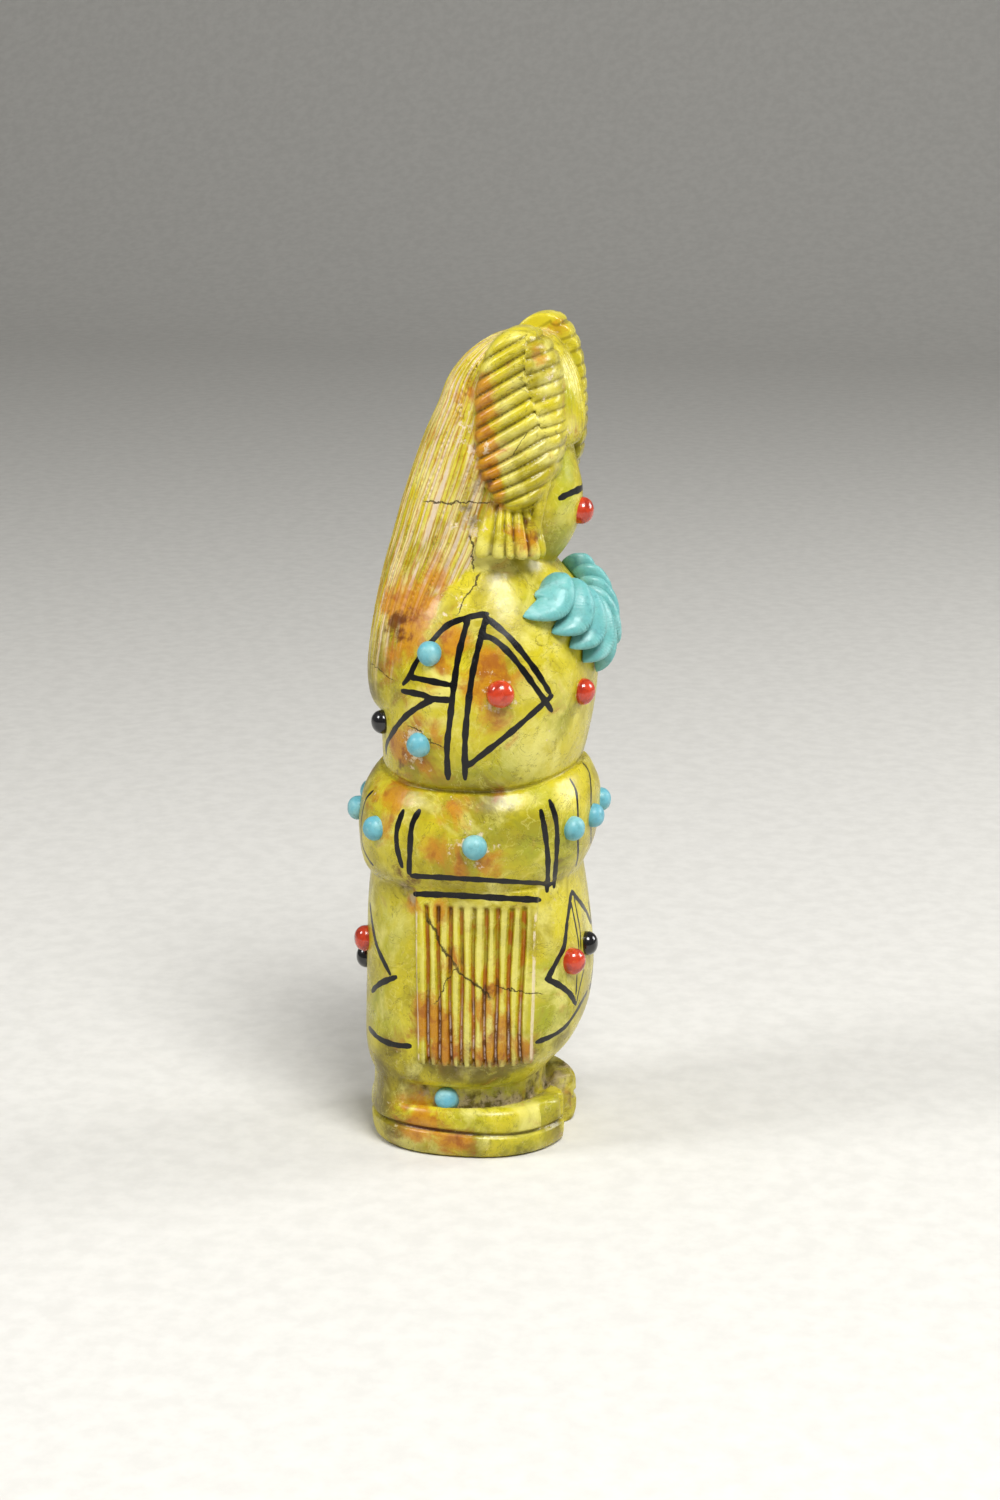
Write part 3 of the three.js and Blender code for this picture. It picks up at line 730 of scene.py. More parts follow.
# Stains, wear, painted shade and painted highlights: a pixel on the stone, a radius in mm and a
# strength
patches = {
    "rust": [
        (481, 384, 1.5, 0.9), (480, 400, 1.6, 1.1), (480, 416, 1.7, 1.2), (481, 432, 1.8, 1.2),
        (484, 450, 1.9, 1.2), (487, 464, 1.8, 1.2), (489, 477, 1.8, 1.2), (494, 489, 1.7, 1.2),
        (497, 500, 1.5, 1.0), (466, 395, 2.0, 0.6), (458, 415, 2.0, 0.4), (440, 560, 1.8, 0.4),
        (436, 580, 2.0, 0.8), (420, 600, 3.0, 0.9), (395, 605, 2.6, 0.9), (412, 630, 2.8, 0.9),
        (392, 655, 2.2, 0.6), (400, 450, 1.8, 0.5), (385, 520, 1.6, 0.4), (446, 640, 2.4, 0.8),
        (438, 660, 1.8, 0.6), (490, 668, 2.6, 1.0), (480, 690, 2.2, 0.8), (492, 725, 2.2, 0.5),
        (420, 735, 3.0, 0.8), (402, 748, 2.6, 0.7), (425, 762, 2.2, 0.6), (430, 690, 2.0, 0.5),
        (395, 795, 3.0, 0.8), (385, 825, 2.6, 0.7), (372, 800, 2.4, 0.5), (450, 812, 2.6, 0.6),
        (440, 850, 2.6, 0.6), (492, 862, 2.4, 0.7), (460, 870, 2.0, 0.5), (505, 790, 2.0, 0.4),
        (430, 1020, 2.8, 1.0), (445, 1045, 2.6, 1.0), (495, 1050, 2.6, 1.0), (478, 1010, 2.0, 0.9),
        (520, 1045, 2.0, 0.7), (440, 910, 1.8, 0.8), (452, 960, 1.8, 0.7), (492, 985, 1.8, 0.9),
        (505, 1020, 2.0, 0.7), (412, 905, 1.6, 0.7), (415, 1098, 2.0, 0.9), (425, 1125, 3.0, 0.9),
        (448, 1140, 2.6, 0.7), (402, 1108, 2.0, 0.6), (515, 535, 1.8, 0.7), (530, 545, 1.6, 0.6),
        (505, 545, 1.6, 0.5), (540, 355, 1.6, 0.5), (560, 325, 1.8, 0.5)],
    "umber": [
        (396, 620, 1.7, 0.9), (402, 636, 1.4, 0.8), (390, 630, 1.1, 0.5), (410, 612, 1.0, 0.4),
        (492, 482, 0.9, 0.7), (525, 522, 1.2, 0.6), (535, 540, 1.1, 0.6), (410, 880, 1.3, 0.7),
        (398, 872, 1.3, 0.5), (486, 996, 1.4, 0.6), (402, 760, 1.6, 0.5), (470, 1052, 1.2, 0.6),
        (492, 1060, 1.6, 0.6), (395, 770, 1.4, 0.4)],
    # chalkAndHighlight patches: glue crust round the beads, and a few painted highlights on the
    # whorls' facet ribs
    "chalkAndHighlight": [
        (475, 849, 2.0, 1.0), (416, 747, 2.0, 0.9), (381, 722, 2.1, 1.0), (414, 770, 1.3, 0.4),
        (500, 694, 2.1, 0.6), (466, 414, 1.6, 0.45), (464, 432, 1.6, 0.45), (471, 450, 1.2, 0.5),
        (488, 447, 1.0, 0.6), (585, 690, 2.0, 0.5), (470, 512, 1.6, 0.5), (476, 527, 1.6, 0.6),
        (460, 524, 1.2, 0.4), (462, 602, 1.6, 0.4), (446, 614, 1.4, 0.3), (550, 378, 0.9, 0.5),
        (546, 394, 0.9, 0.5), (550, 332, 1.2, 0.35), (584, 962, 1.4, 0.4), (568, 432, 1.0, 0.5)],
    "soil": [
        (425, 1088, 1.0, 0.8), (440, 1104, 1.0, 0.9), (455, 1102, 1.4, 1.2), (470, 1103, 1.5, 1.2),
        (485, 1103, 1.5, 1.2), (500, 1102, 1.6, 1.2), (515, 1099, 1.5, 1.1), (530, 1093, 1.6, 1.1),
        (545, 1084, 1.7, 1.1), (556, 1074, 1.6, 1.0), (566, 1064, 1.6, 1.0), (574, 1058, 1.5, 1.0),
        (540, 1070, 1.3, 0.4), (405, 886, 1.1, 0.9), (413, 898, 1.0, 0.8), (472, 475, 1.4, 0.4),
        (474, 490, 1.6, 0.6), (470, 507, 1.6, 0.6), (474, 522, 1.4, 0.5), (565, 441, 1.2, 0.7),
        (572, 1115, 1.0, 0.5), (566, 1100, 0.9, 0.7), (400, 660, 1.0, 0.4), (462, 1068, 1.6, 0.4),
        (548, 905, 1.0, 0.5)],
    # oliveShade patches: painted shade in the ankle recess, on the heel and the soles' lower edge,
    # under the locks, below the bangs and the belt
    "oliveShade": [
        (430, 1062, 2.6, 0.8), (455, 1068, 3.0, 1.0), (480, 1070, 3.0, 1.0), (505, 1068, 3.0, 1.0),
        (530, 1062, 2.6, 0.9), (385, 1075, 3.4, 1.0), (380, 1100, 3.4, 1.0), (400, 1085, 3.0, 0.9),
        (390, 1055, 2.6, 0.8), (410, 1070, 2.6, 0.7), (380, 655, 3.0, 0.7), (372, 690, 3.0, 0.8),
        (395, 690, 2.4, 0.5), (500, 566, 1.8, 0.5), (520, 566, 1.8, 0.5), (482, 566, 1.6, 0.4),
        (560, 880, 2.0, 0.5), (562, 442, 1.4, 0.7), (575, 447, 1.2, 0.5), (568, 548, 2.0, 0.5),
        (495, 800, 3.6, 0.6), (404, 885, 1.5, 0.6), (372, 770, 2.4, 0.5), (560, 860, 2.6, 0.5),
        (445, 975, 2.6, 0.3), (560, 1040, 3.0, 0.6), (395, 1135, 3.4, 0.7), (555, 1125, 3.0, 0.6),
        (480, 1148, 4.0, 0.5), (520, 1148, 4.0, 0.5)],
    # pale patches: mostly painted highlights on the whorls' facet ribs and tops, the chest, the
    # shoulder and the belt, with some pale stone on the skirt
    "pale": [
        (530, 752, 4.2, 0.9), (548, 770, 2.6, 0.6), (520, 640, 2.4, 0.6), (530, 690, 2.4, 0.5),
        (565, 690, 2.4, 0.4), (400, 920, 3.0, 0.6), (545, 920, 2.8, 0.7), (550, 945, 2.0, 0.5),
        (395, 570, 2.0, 0.4), (440, 420, 2.4, 0.5), (450, 380, 2.2, 0.5), (566, 370, 2.2, 0.3),
        (572, 425, 1.4, 0.5), (546, 385, 1.6, 0.8), (540, 365, 1.4, 0.7), (520, 385, 1.6, 0.6),
        (505, 410, 1.8, 0.6), (500, 452, 1.6, 0.6), (525, 372, 1.4, 0.5), (512, 335, 1.8, 0.6),
        (448, 822, 1.6, 0.3), (500, 720, 1.6, 0.4), (575, 335, 2.4, 0.5), (565, 515, 1.8, 0.5),
        (480, 960, 3.6, 0.4)],
    "green": [
        (565, 535, 3.4, 0.8), (566, 470, 3.0, 0.9), (568, 500, 3.0, 0.8), (510, 765, 4.0, 0.8),
        (470, 770, 3.5, 0.6), (500, 835, 4.5, 0.6), (532, 850, 4.5, 0.7), (510, 600, 3.0, 0.6),
        (470, 860, 2.5, 0.5), (390, 930, 4.0, 0.6), (560, 720, 4.0, 0.5), (540, 790, 4.0, 0.6),
        (565, 850, 4.0, 0.8), (550, 980, 4.0, 0.8), (550, 1020, 4.5, 0.9), (380, 1010, 4.0, 0.8),
        (385, 940, 3.0, 0.6), (500, 1085, 5.0, 0.8), (545, 1105, 4.5, 0.6), (575, 1090, 4.0, 0.7),
        (525, 1135, 5.0, 0.6), (470, 1125, 4.0, 0.6), (570, 390, 3.0, 0.6), (530, 560, 3.0, 0.4),
        (430, 700, 2.0, 0.3)],
}


# The far side has the same patches, painted shade and highlights among them, weaker and shifted by
# this much in mm.
farSide = {"shift": (0, 1.5, 2.0), "strength": 0.8}


def patchValues(stone, points, spots):
    total = np.zeros(len(points))
    for px, py, radius, strength in spots:
        place = pixelOnStone(stone, px, py)
        if place is None:
            continue
        far = place * (-1, 1, 1) + farSide["shift"]
        for middle, share in ((place, 1.0), (far, farSide["strength"])):
            away = np.linalg.norm(points - middle, axis=1)
            total = np.maximum(total, strength * share * np.exp(-(away / radius) ** 2))
    return total


def makeStone():
    step = body["meshStep"]
    grid = Grid(*blocks["stone"], step)
    field, marks = stoneField(grid)
    points, quads = skinOf(field, grid)
    stone = meshFrom("stoneCarving", points, quads)
    triangles = len(quads) * 2
    print("stone:", triangles, "triangles before thinning")
    bpy.context.view_layer.update()
    places, halves = layLines(stone)
    if triangles > body["mostTriangles"]:
        gap = lineGap(points, places, halves)
        group = stone.vertex_groups.new(name="awayFromLines")
        for weight, chosen in ((1.0, gap > linework["kept"]), (0.0, gap <= linework["kept"])):
            group.add(np.nonzero(chosen)[0].tolist(), weight, "REPLACE")
        thin = stone.modifiers.new("thin", "DECIMATE")
        thin.ratio = body["mostTriangles"] / triangles
        thin.vertex_group = "awayFromLines"
        settle(stone)
        stone.vertex_groups.clear()
        bpy.context.view_layer.update()
    points = vertexPlaces(stone.data)
    setAttribute(stone.data, "lineGap", lineGap(points, places, halves))
    for name, values in marks.items():
        setAttribute(stone.data, name, readField(values, grid, points))
    x, y, z = points.T
    setAttribute(stone.data, "hairLane", hairLane(ringTurn("hair", x, y, z), z))
    setAttribute(stone.data, "panelLane", panelLane(y, z)[0])
    setAttribute(stone.data, "ribLane", np.where(x < 0, ribLane(-1, y, z)[0], ribLane(1, y, z)[0]))
    for name, spots in patches.items():
        setAttribute(stone.data, name, patchValues(stone, points, spots))
    return stone


necklace = {
    "petals": 4,  # on each side of the middle one
    "width": 3.7,
    "thickness": 3.6,
    "widest": 0.45,
    "roundness": 1.9,  # 1 gives petals a knife edge, 2 a round one
    "overlap": 0.6,  # each petal's edge towards the middle lies on the next one
    "clearance": 0.12,
    "step": 0.13,
    "quickStep": 0.2,
}


# How far the chest reaches forward at a height and a distance to one side
def chestReach(across, height):
    back, front, half = reachesAt(body["torso"], height)
    off, power = min(abs(across) / half, 0.98), squareness["torso"]
    return (front - back) / 2 + (front + back) / 2 * (1 - off ** power) ** (1 / power)


def petalSpine(index):
    share, side = abs(index) / necklace["petals"], float(np.sign(index))
    rows = [
        (6 * share, 66.8 + 2.9 * share ** 1.3, 0.5 + 0.2 * share),
        (7.4 * share ** 0.85, 64.8 + 3.9 * share ** 1.3, 1.15 + 0.5 * share),
        (8.8 * share ** 0.75, 61.2 + 6.1 * share ** 1.3, 1.35),
        (10.4 * share ** 0.55, 58.4 + 8.1 * share, 0.1)]
    points = [(0, side * a, -chestReach(a, b) - lift, b) for a, b, lift in rows]
    line = smoothTable(points, 14)[:, 1:]
    outwards = np.array([side * share * 0.7, -1, 0.25])
    return line, outwards / np.linalg.norm(outwards)


# A petal's width along it: narrow at the neck, widest below its middle, pointed at the tip
def petalSwell(along):
    widest = necklace["widest"]
    if along < widest:
        return 0.34 + 0.66 * math.sin(math.pi / 2 * along / widest)
    return 0.16 + 0.84 * math.cos(math.pi / 2 * (along - widest) / (1 - widest)) ** 0.85


def makeNecklace():
    low, high = (np.array(corner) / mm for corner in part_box("turquoise_necklace"))
    step = necklace["step"]
    grid = Grid(low - 0.8, high + 0.8, step)
    field = np.full(grid.shape, 3.0, np.float32)
    behind = field.copy()  # the next nearest petal, to find the creases between them
    for index in range(-necklace["petals"], necklace["petals"] + 1):
        line, outwards = petalSpine(index)
        cut, (x, y, z) = grid.within(line.min(0) - 2.8, line.max(0) + 2.8)
        nearest = np.full((x.shape[0], y.shape[1], z.shape[2]), 9.0, np.float32)
        tangents = np.gradient(line, axis=0)
        for i, (point, tangent) in enumerate(zip(line, tangents)):
            swell = petalSwell(i / (len(line) - 1))
            tangent = tangent / np.linalg.norm(tangent)
            sideways = np.cross(tangent, outwards)
            sideways /= np.linalg.norm(sideways)
            offset = [x - point[0], y - point[1], z - point[2]]
            a, b, c = (
                sum(o * float(v) for o, v in zip(offset, axis))
                for axis in (sideways, outwards, tangent))
            b = b - necklace["overlap"] * float(np.sign(index)) * a
            wide, thick = (necklace[name] / 2 * swell for name in ("width", "thickness"))
            share = ovalShare(a, b, wide, thick, necklace["roundness"])
            nearest = np.minimum(nearest, np.sqrt(share ** 2 + (c / 0.5) ** 2))
        away = (nearest - 1) * 1.2
        behind[cut] = np.minimum(behind[cut], np.maximum(away, field[cut]))
        field[cut] = np.minimum(field[cut], away)
    # how near the crease between two petals is; painted shade goes there
    crease = np.exp(-np.maximum(behind - field, 0) / 0.12)
    for name in ("torso", "face"):
        chest = bodyForm(name, grid.x, grid.y, grid.z)
        field = np.maximum(field, necklace["clearance"] - chest)
    # closes the skin at the top and the bottom of the grid
    field[:, :, -1] = field[:, :, 0] = 1.0
    points, quads = skinOf(field, grid)
    made = meshFrom("petalNecklace", points, quads)
    setAttribute(made.data, "crease", readField(crease, grid, points))
    setAttribute(made.data, "tone", np.full(len(points), 1.0))
    print("necklace:", len(quads) * 2, "triangles")
    return made


inlay = {
    # each bead: name, kind, turn from the front towards the figure's right, tilt
    "seats": [
        ("mouth", "coral", 0, -4), ("chest", "coral", 20, 0), ("sleeve_right", "coral", 66, 4),
        ("sleeve_right_upper", "turquoise", 99, 14), ("sleeve_right_lower", "turquoise", 104, -4),
        ("sleeve_left", "coral", -66, 4), ("sleeve_left_upper", "turquoise", -99, 14),
        ("sleeve_left_lower", "turquoise", -104, -4), ("back", "jet", 138, 0),
        ("belt_front_right", "turquoise", 30, 0), ("belt_front", "turquoise", 9, 0),
        ("belt_front_left", "turquoise", -20, 0), ("belt_right", "turquoise", 77, 0),
        ("belt_left", "turquoise", -77, 0), ("belt_back_right", "turquoise", 129, 0),
        ("belt_back", "turquoise", 164, 0), ("belt_back_left", "turquoise", 192, 0),
        ("skirt_front_right", "coral", 26, 0), ("skirt_front", "jet", 7, 0),
        ("skirt_back", "coral", 155, 0), ("skirt_back_left", "jet", 168, 0),
        ("foot_right", "turquoise", 95, 24), ("foot_left", "turquoise", -95, 24)],
    "radius": {"turquoise": 1.5, "coral": 1.66, "jet": 1.48},
    "top": 1.04,  # how high a bead stands over its seat, as a share of its radius
    "sizes": (0.965, 1.0),  # beads differ in size, from the first share to the second
    "mostTone": 0.45,  # and in tone, from 0 to this
    "rings": 14,
    "sides": 40,
}


# One polished bead, 1 unit in radius, standing on its seat at z = 0 and domed on top
def beadModel():
    profile = [(0.0, -0.6), (0.9, -0.6), (0.985, -0.5), (1.0, -0.3), (1.0, 0.25)]
    for i in range(1, inlay["rings"] + 1):
        angle = math.pi / 2 * i / inlay["rings"]
        profile.append((math.cos(angle) ** 0.86, 0.25 + 0.79 * math.sin(angle) ** 1.1))
    sides = inlay["sides"]
    points, faces = [(0, 0, profile[0][1])], []
    for radius, height in profile[1:-1]:
        for i in range(sides):
            turn = 2 * math.pi * i / sides
            uneven = 0.012 * (1 + math.sin(3 * turn + height)) + 0.008 * (1 + math.sin(5 * turn))
            reach = radius * (1 - uneven)
            points.append((reach * math.cos(turn), reach * math.sin(turn), height))
    points.append((0, 0, profile[-1][1]))
    for i in range(sides):
        after = (i + 1) % sides
        faces.append((0, 1 + after, 1 + i))
        for row in range(len(profile) - 3):
            a = 1 + row * sides
            faces.append((a + i, a + after, a + sides + after, a + sides + i))
        last = 1 + (len(profile) - 3) * sides
        faces.append((last + i, last + after, len(points) - 1))
    mesh = bpy.data.meshes.new("beadModel")
    mesh.from_pydata(points, [], faces)
    mesh.shade_smooth()
    return bpy.data.objects.new("beadModel", mesh)


# A node tree that sets one bead on every point, turned to face outwards and sized by an input
def settingTree(model, material):
    tree = bpy.data.node_groups.new("setBeads", "GeometryNodeTree")
    sockets = tree.interface
    sockets.new_socket("Geometry", in_out="INPUT", socket_type="NodeSocketGeometry")
    size = sockets.new_socket("Bead Radius", in_out="INPUT", socket_type="NodeSocketFloat")
    seed = sockets.new_socket("Seed", in_out="INPUT", socket_type="NodeSocketInt")
    sockets.new_socket("Geometry", in_out="OUTPUT", socket_type="NodeSocketGeometry")
    add = tree.nodes.new
    begin, end = add("NodeGroupInput"), add("NodeGroupOutput")
    bead = add("GeometryNodeObjectInfo")
    bead.inputs["Object"].default_value = model
    facing = add("GeometryNodeInputNamedAttribute")
    facing.data_type = "FLOAT_VECTOR"
    facing.inputs["Name"].default_value = "facing"
    align = add("FunctionNodeAlignRotationToVector")
    align.axis = "Z"
    spin = add("FunctionNodeRandomValue")
    spin.inputs["Max"].default_value = 2 * math.pi
    around = add("FunctionNodeAxisAngleToRotation")
    turned = add("FunctionNodeRotateRotation")
    turned.rotation_space = "LOCAL"
    scale = add("FunctionNodeRandomValue")
    scale.inputs[2].default_value, scale.inputs[3].default_value = inlay["sizes"]
    sized = add("ShaderNodeMath")
    sized.operation = "MULTIPLY"
    tone = add("FunctionNodeRandomValue")
    tone.inputs[3].default_value = inlay["mostTone"]
    shade = add("GeometryNodeStoreNamedAttribute")
    shade.data_type, shade.domain = "FLOAT", "INSTANCE"
    shade.inputs["Name"].default_value = "tone"
    place = add("GeometryNodeInstanceOnPoints")
    plain, paint = add("GeometryNodeRealizeInstances"), add("GeometryNodeSetMaterial")
    paint.inputs["Material"].default_value = material
    for source, output, target, taken in (
            (facing, "Attribute", align, "Vector"), (begin, "Seed", spin, "Seed"),
            (begin, "Seed", scale, "Seed"), (begin, "Seed", tone, "Seed"),
            (align, "Rotation", turned, "Rotation"), (spin, 1, around, "Angle"),
            (around, "Rotation", turned, "Rotate By"), (scale, 1, sized, 0),
            (begin, "Bead Radius", sized, 1), (begin, "Geometry", place, "Points"),
            (bead, "Geometry", place, "Instance"), (turned, "Rotation", place, "Rotation"),
            (sized, "Value", place, "Scale"), (place, "Instances", shade, "Geometry"),
            (tone, 1, shade, "Value"), (shade, "Geometry", plain, "Geometry"),
            (plain, "Geometry", paint, "Geometry"), (paint, "Geometry", end, "Geometry")):
        tree.links.new(source.outputs[output], target.inputs[taken])
    return tree, size.identifier, seed.identifier


# The way out of the stone at a turn from the front and a tilt upwards
def outwardsAt(turn, tilt):
    angle, lean = math.radians(turn), math.radians(tilt)
    level = math.cos(lean)
    return np.array([-math.sin(angle) * level, -math.cos(angle) * level, math.sin(lean)])


# All beads of one kind, each standing where its solid does
def makeBeads(kind, material, seed):
    seats = [row for row in inlay["seats"] if row[1] == kind]
    points, facing = [], []
    for name, _, turn, tilt in seats:
        corners = vertexPlaces(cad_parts[f"{kind}_bead_{name}"].data)
        outwards = outwardsAt(turn, tilt)
        heights = corners @ outwards
        middle = corners.mean(0)
        top = inlay["radius"][kind] * inlay["top"]
        points.append(middle + outwards * (heights.max() - top - middle @ outwards))
        facing.append(outwards)
    cloud = bpy.data.meshes.new(kind + "Seats")
    cloud.from_pydata((np.array(points) * mm).tolist(), [], [])
    layer = cloud.attributes.new("facing", "FLOAT_VECTOR", "POINT")
    layer.data.foreach_set("vector", np.array(facing, np.float32).ravel())
    obj = bpy.data.objects.new(kind + "Beads", cloud)
    bpy.context.scene.collection.objects.link(obj)
    tree, sizeKey, seedKey = settingTree(beadModel(), material)
    modifier = obj.modifiers.new("setBeads", "NODES")
    modifier.node_group = tree
    modifier[sizeKey] = inlay["radius"][kind] * mm
    modifier[seedKey] = seed
    settle(obj)
    print(kind + ":", len(seats), "beads")
    return obj, [f"{kind}_bead_{row[0]}" for row in seats]


# Short ways to build a material's nodes. Its color is painted in layers over a first one.
class Nodes:
    def __init__(self, name, color):
        self.material = bpy.data.materials.new(name)
        self.material.use_nodes = True
        self.tree = self.material.node_tree
        self.shader = self.tree.nodes["Principled BSDF"]
        self.space = self.add("ShaderNodeTexCoord").outputs["Object"]
        self.color = color

    def add(self, kind, **settings):
        node = self.tree.nodes.new(kind)
        for key, value in settings.items():
            setattr(node, key, value)
        return node

    def put(self, value, socket):
        if isinstance(value, bpy.types.NodeSocket):
            self.tree.links.new(value, socket)
        else:
            socket.default_value = value

    def attribute(self, name):
        return self.add("ShaderNodeAttribute", attribute_name=name).outputs["Fac"]

    def noise(self, scale, detail=4.0, rough=0.55, twist=0.0, place=None):
        node = self.add("ShaderNodeTexNoise")
        settings = (place or self.space, scale, detail, rough, twist)
        for name, value in zip(("Vector", "Scale", "Detail", "Roughness", "Distortion"), settings):
            self.put(value, node.inputs[name])
        return node.outputs["Fac"]

    def math(self, operation, a, b=0.0, clamp=False):
        node = self.add("ShaderNodeMath", operation=operation, use_clamp=clamp)
        self.put(a, node.inputs[0])
        self.put(b, node.inputs[1])
        return node.outputs[0]

    def times(self, a, b):
        return self.math("MULTIPLY", a, b)

    # How far a value is from another
    def gap(self, value, middle):
        return self.math("ABSOLUTE", self.math("SUBTRACT", value, middle))

    # Noise as a swing to both sides of 0
    def swing(self, noise, amount):
        return self.times(self.math("SUBTRACT", noise, 0.5), amount)

    def vector(self, operation, a, b=(0, 0, 0)):
        node = self.add("ShaderNodeVectorMath", operation=operation)
        self.put(a, node.inputs[0])
        node.inputs[1].default_value = tuple(b)
        return node.outputs["Vector" if operation == "SUBTRACT" else "Value"]

    def height(self):
        parts = self.add("ShaderNodeSeparateXYZ")
        self.put(self.space, parts.inputs[0])
        return parts.outputs["Z"]

    # A place to read noise at that runs along strands, by their number and the height
    def alongLanes(self, lane, perMetre):
        place = self.add("ShaderNodeCombineXYZ")
        self.put(lane, place.inputs["X"])
        self.put(self.times(self.height(), perMetre), place.inputs["Y"])
        return place.outputs["Vector"]

    # How far a lane is from its groove, as a share of its width, made uneven
    def fromGroove(self, lane, uneven):
        return self.math("ADD", self.math("PINGPONG", lane, 0.5), uneven)

    def ramp(self, value, low, high, start=0.0, end=1.0):
        node = self.add("ShaderNodeMapRange", interpolation_type="SMOOTHSTEP")
        numbers = (value, low, high, start, end)
        for name, number in zip(("Value", "From Min", "From Max", "To Min", "To Max"), numbers):
            self.put(number, node.inputs[name])
        return node.outputs["Result"]

    def mix(self, share, a, b):
        node = self.add("ShaderNodeMix", data_type="RGBA")
        for name, value in (("Factor", share), ("A", a), ("B", b)):
            self.put(value, node.inputs[name])
        return node.outputs["Result"]

    def paint(self, mask, color, share=None):
        self.color = self.mix(self.times(mask, share) if share else mask, self.color, color)

    def bump(self, height, strength, distance):
        node = self.add("ShaderNodeBump")
        for name, value in (("Strength", strength), ("Distance", distance), ("Height", height)):
            self.put(value, node.inputs[name])
        return node.outputs["Normal"]

    def finish(self, rough, normal, gloss=()):
        sockets = ("Specular IOR Level", "Coat Weight", "Coat Roughness")
        layers = (("Base Color", self.color), ("Roughness", rough), ("Normal", normal))
        for name, value in (*layers, *zip(sockets, gloss)):
            self.put(value, self.shader.inputs[name])
        return self.material


def tint(red, green, blue):
    def toLinear(value):
        value /= 255
        return value / 12.92 if value <= 0.04045 else ((value + 0.055) / 1.055) ** 2.4
    return (toLinear(red), toLinear(green), toLinear(blue), 1.0)


serpentine = {
    "main": tint(198, 184, 36),
    "deep": tint(150, 136, 18),
    "green": tint(146, 154, 34),
    # the stone's pale tone, also the colour of the painted highlight patches
    "pale": tint(224, 216, 122),
    "cream": tint(220, 204, 142),
    "amber": tint(188, 122, 18),
    "rust": tint(158, 76, 12),
    "umber": tint(94, 46, 12),
    # painted shade colour, for the shade patches and the lines in the whorls' rib valleys
    "oliveShade": tint(96, 82, 10),
    "shade": tint(84, 70, 12),
    # glue crust colour, also used for painted highlights on rib tops and the panels' edges
    "chalkAndHighlight": tint(224, 206, 176),
    "lilac": tint(206, 184, 168),
    "soil": tint(178, 160, 126),
    "crack": tint(58, 46, 14),
    "ink": tint(6, 5, 5),
    # each kind of patch: where it begins, where it is full, and how ragged its edge is
    "edges": {
        "green": (0.05, 1.05, 1.8), "pale": (0.1, 0.95, 1.8), "oliveShade": (0.1, 0.95, 1.8),
        "rust": (0.15, 0.75, 2.4), "umber": (0.3, 0.8, 2.4), "chalkAndHighlight": (0.44, 0.68, 2.8),
        "soil": (0.2, 0.85, 1.6)},
    "dusty": (16.0, 23.0),  # the panels' grooves are filled with pale dust up to these heights
    "rim": (12.2, 30.4),  # the painted highlight lines at the panels' sides run between these heights
    "gloss": (0.36, 0.06, 0.1),  # specular level, coat and the coat's roughness
    # each crack: a pixel at its middle, its way as a pixel step, half length and half width in mm
    "cracks": [
        ((456, 503), (60, 2), 4.6, 0.1), ((469, 594), (-21, 42), 3.2, 0.09),
        ((472, 553), (2, 30), 2.4, 0.07), ((441, 942), (28, 45), 4.0, 0.13),
        ((472, 983), (35, 35), 3.2, 0.13), ((520, 990), (50, 6), 3.4, 0.07),
        ((446, 985), (-30, 45), 3.2, 0.06), ((519, 445), (-14, 30), 1.8, 0.06),
        ((380, 670), (30, 22), 2.6, 0.05), ((425, 735), (40, 24), 3.0, 0.06)],
}


# A crack is a plane through the stone, bent a little by noise, that ends at a ball's edge.
def crackValue(nodes, stone, crack, wander):
    (px, py), (stepX, stepY), reach, width = crack
    ahead, along = pixelRay(px, py)[1], pixelRay(px + stepX, py + stepY)[1]
    normal = (along - ahead).normalized().cross(ahead).normalized()
    offset = nodes.vector("SUBTRACT", nodes.space, pixelOnStone(stone, px, py) * mm)
    bent = nodes.math("ADD", nodes.vector("DOT_PRODUCT", offset, normal), wander)
    bent = nodes.math("ABSOLUTE", bent)
    thin = nodes.ramp(bent, width * 0.5 * mm, width * 1.6 * mm, 1.0, 0.0)
    ends = nodes.ramp(nodes.vector("LENGTH", offset), reach * 0.75 * mm, reach * mm, 1.0, 0.0)
    return nodes.times(thin, ends)


# The hair: streaks along the strands, brown edges, and grooves filled with pale dust
def paintStrands(nodes, look):
    hair, lane = nodes.attribute("hair"), nodes.attribute("hairLane")
    place = nodes.alongLanes(lane, 70)
    streak = nodes.noise(1.3, 5, 0.65, place=place)
    thread = nodes.noise(5.0, 5, 0.7, place=place)
    nodes.paint(nodes.times(hair, nodes.ramp(streak, 0.44, 0.6, 0.0, 0.8)), look["cream"])
    nodes.paint(nodes.times(hair, nodes.ramp(thread, 0.55, 0.68, 0.0, 0.6)), look["amber"])
    away = nodes.fromGroove(lane, nodes.swing(thread, 0.5))
    edge = nodes.ramp(nodes.gap(away, 0.26), 0.02, 0.08, 0.6, 0.0)
    nodes.paint(nodes.times(edge, hair), look["rust"])
    filled = nodes.times(nodes.ramp(away, 0.1, 0.22, 1.0, 0.0), nodes.ramp(streak, 0.42, 0.56))
    filled = nodes.times(filled, nodes.times(hair, 0.75))
    nodes.paint(filled, look["lilac"])
    return filled
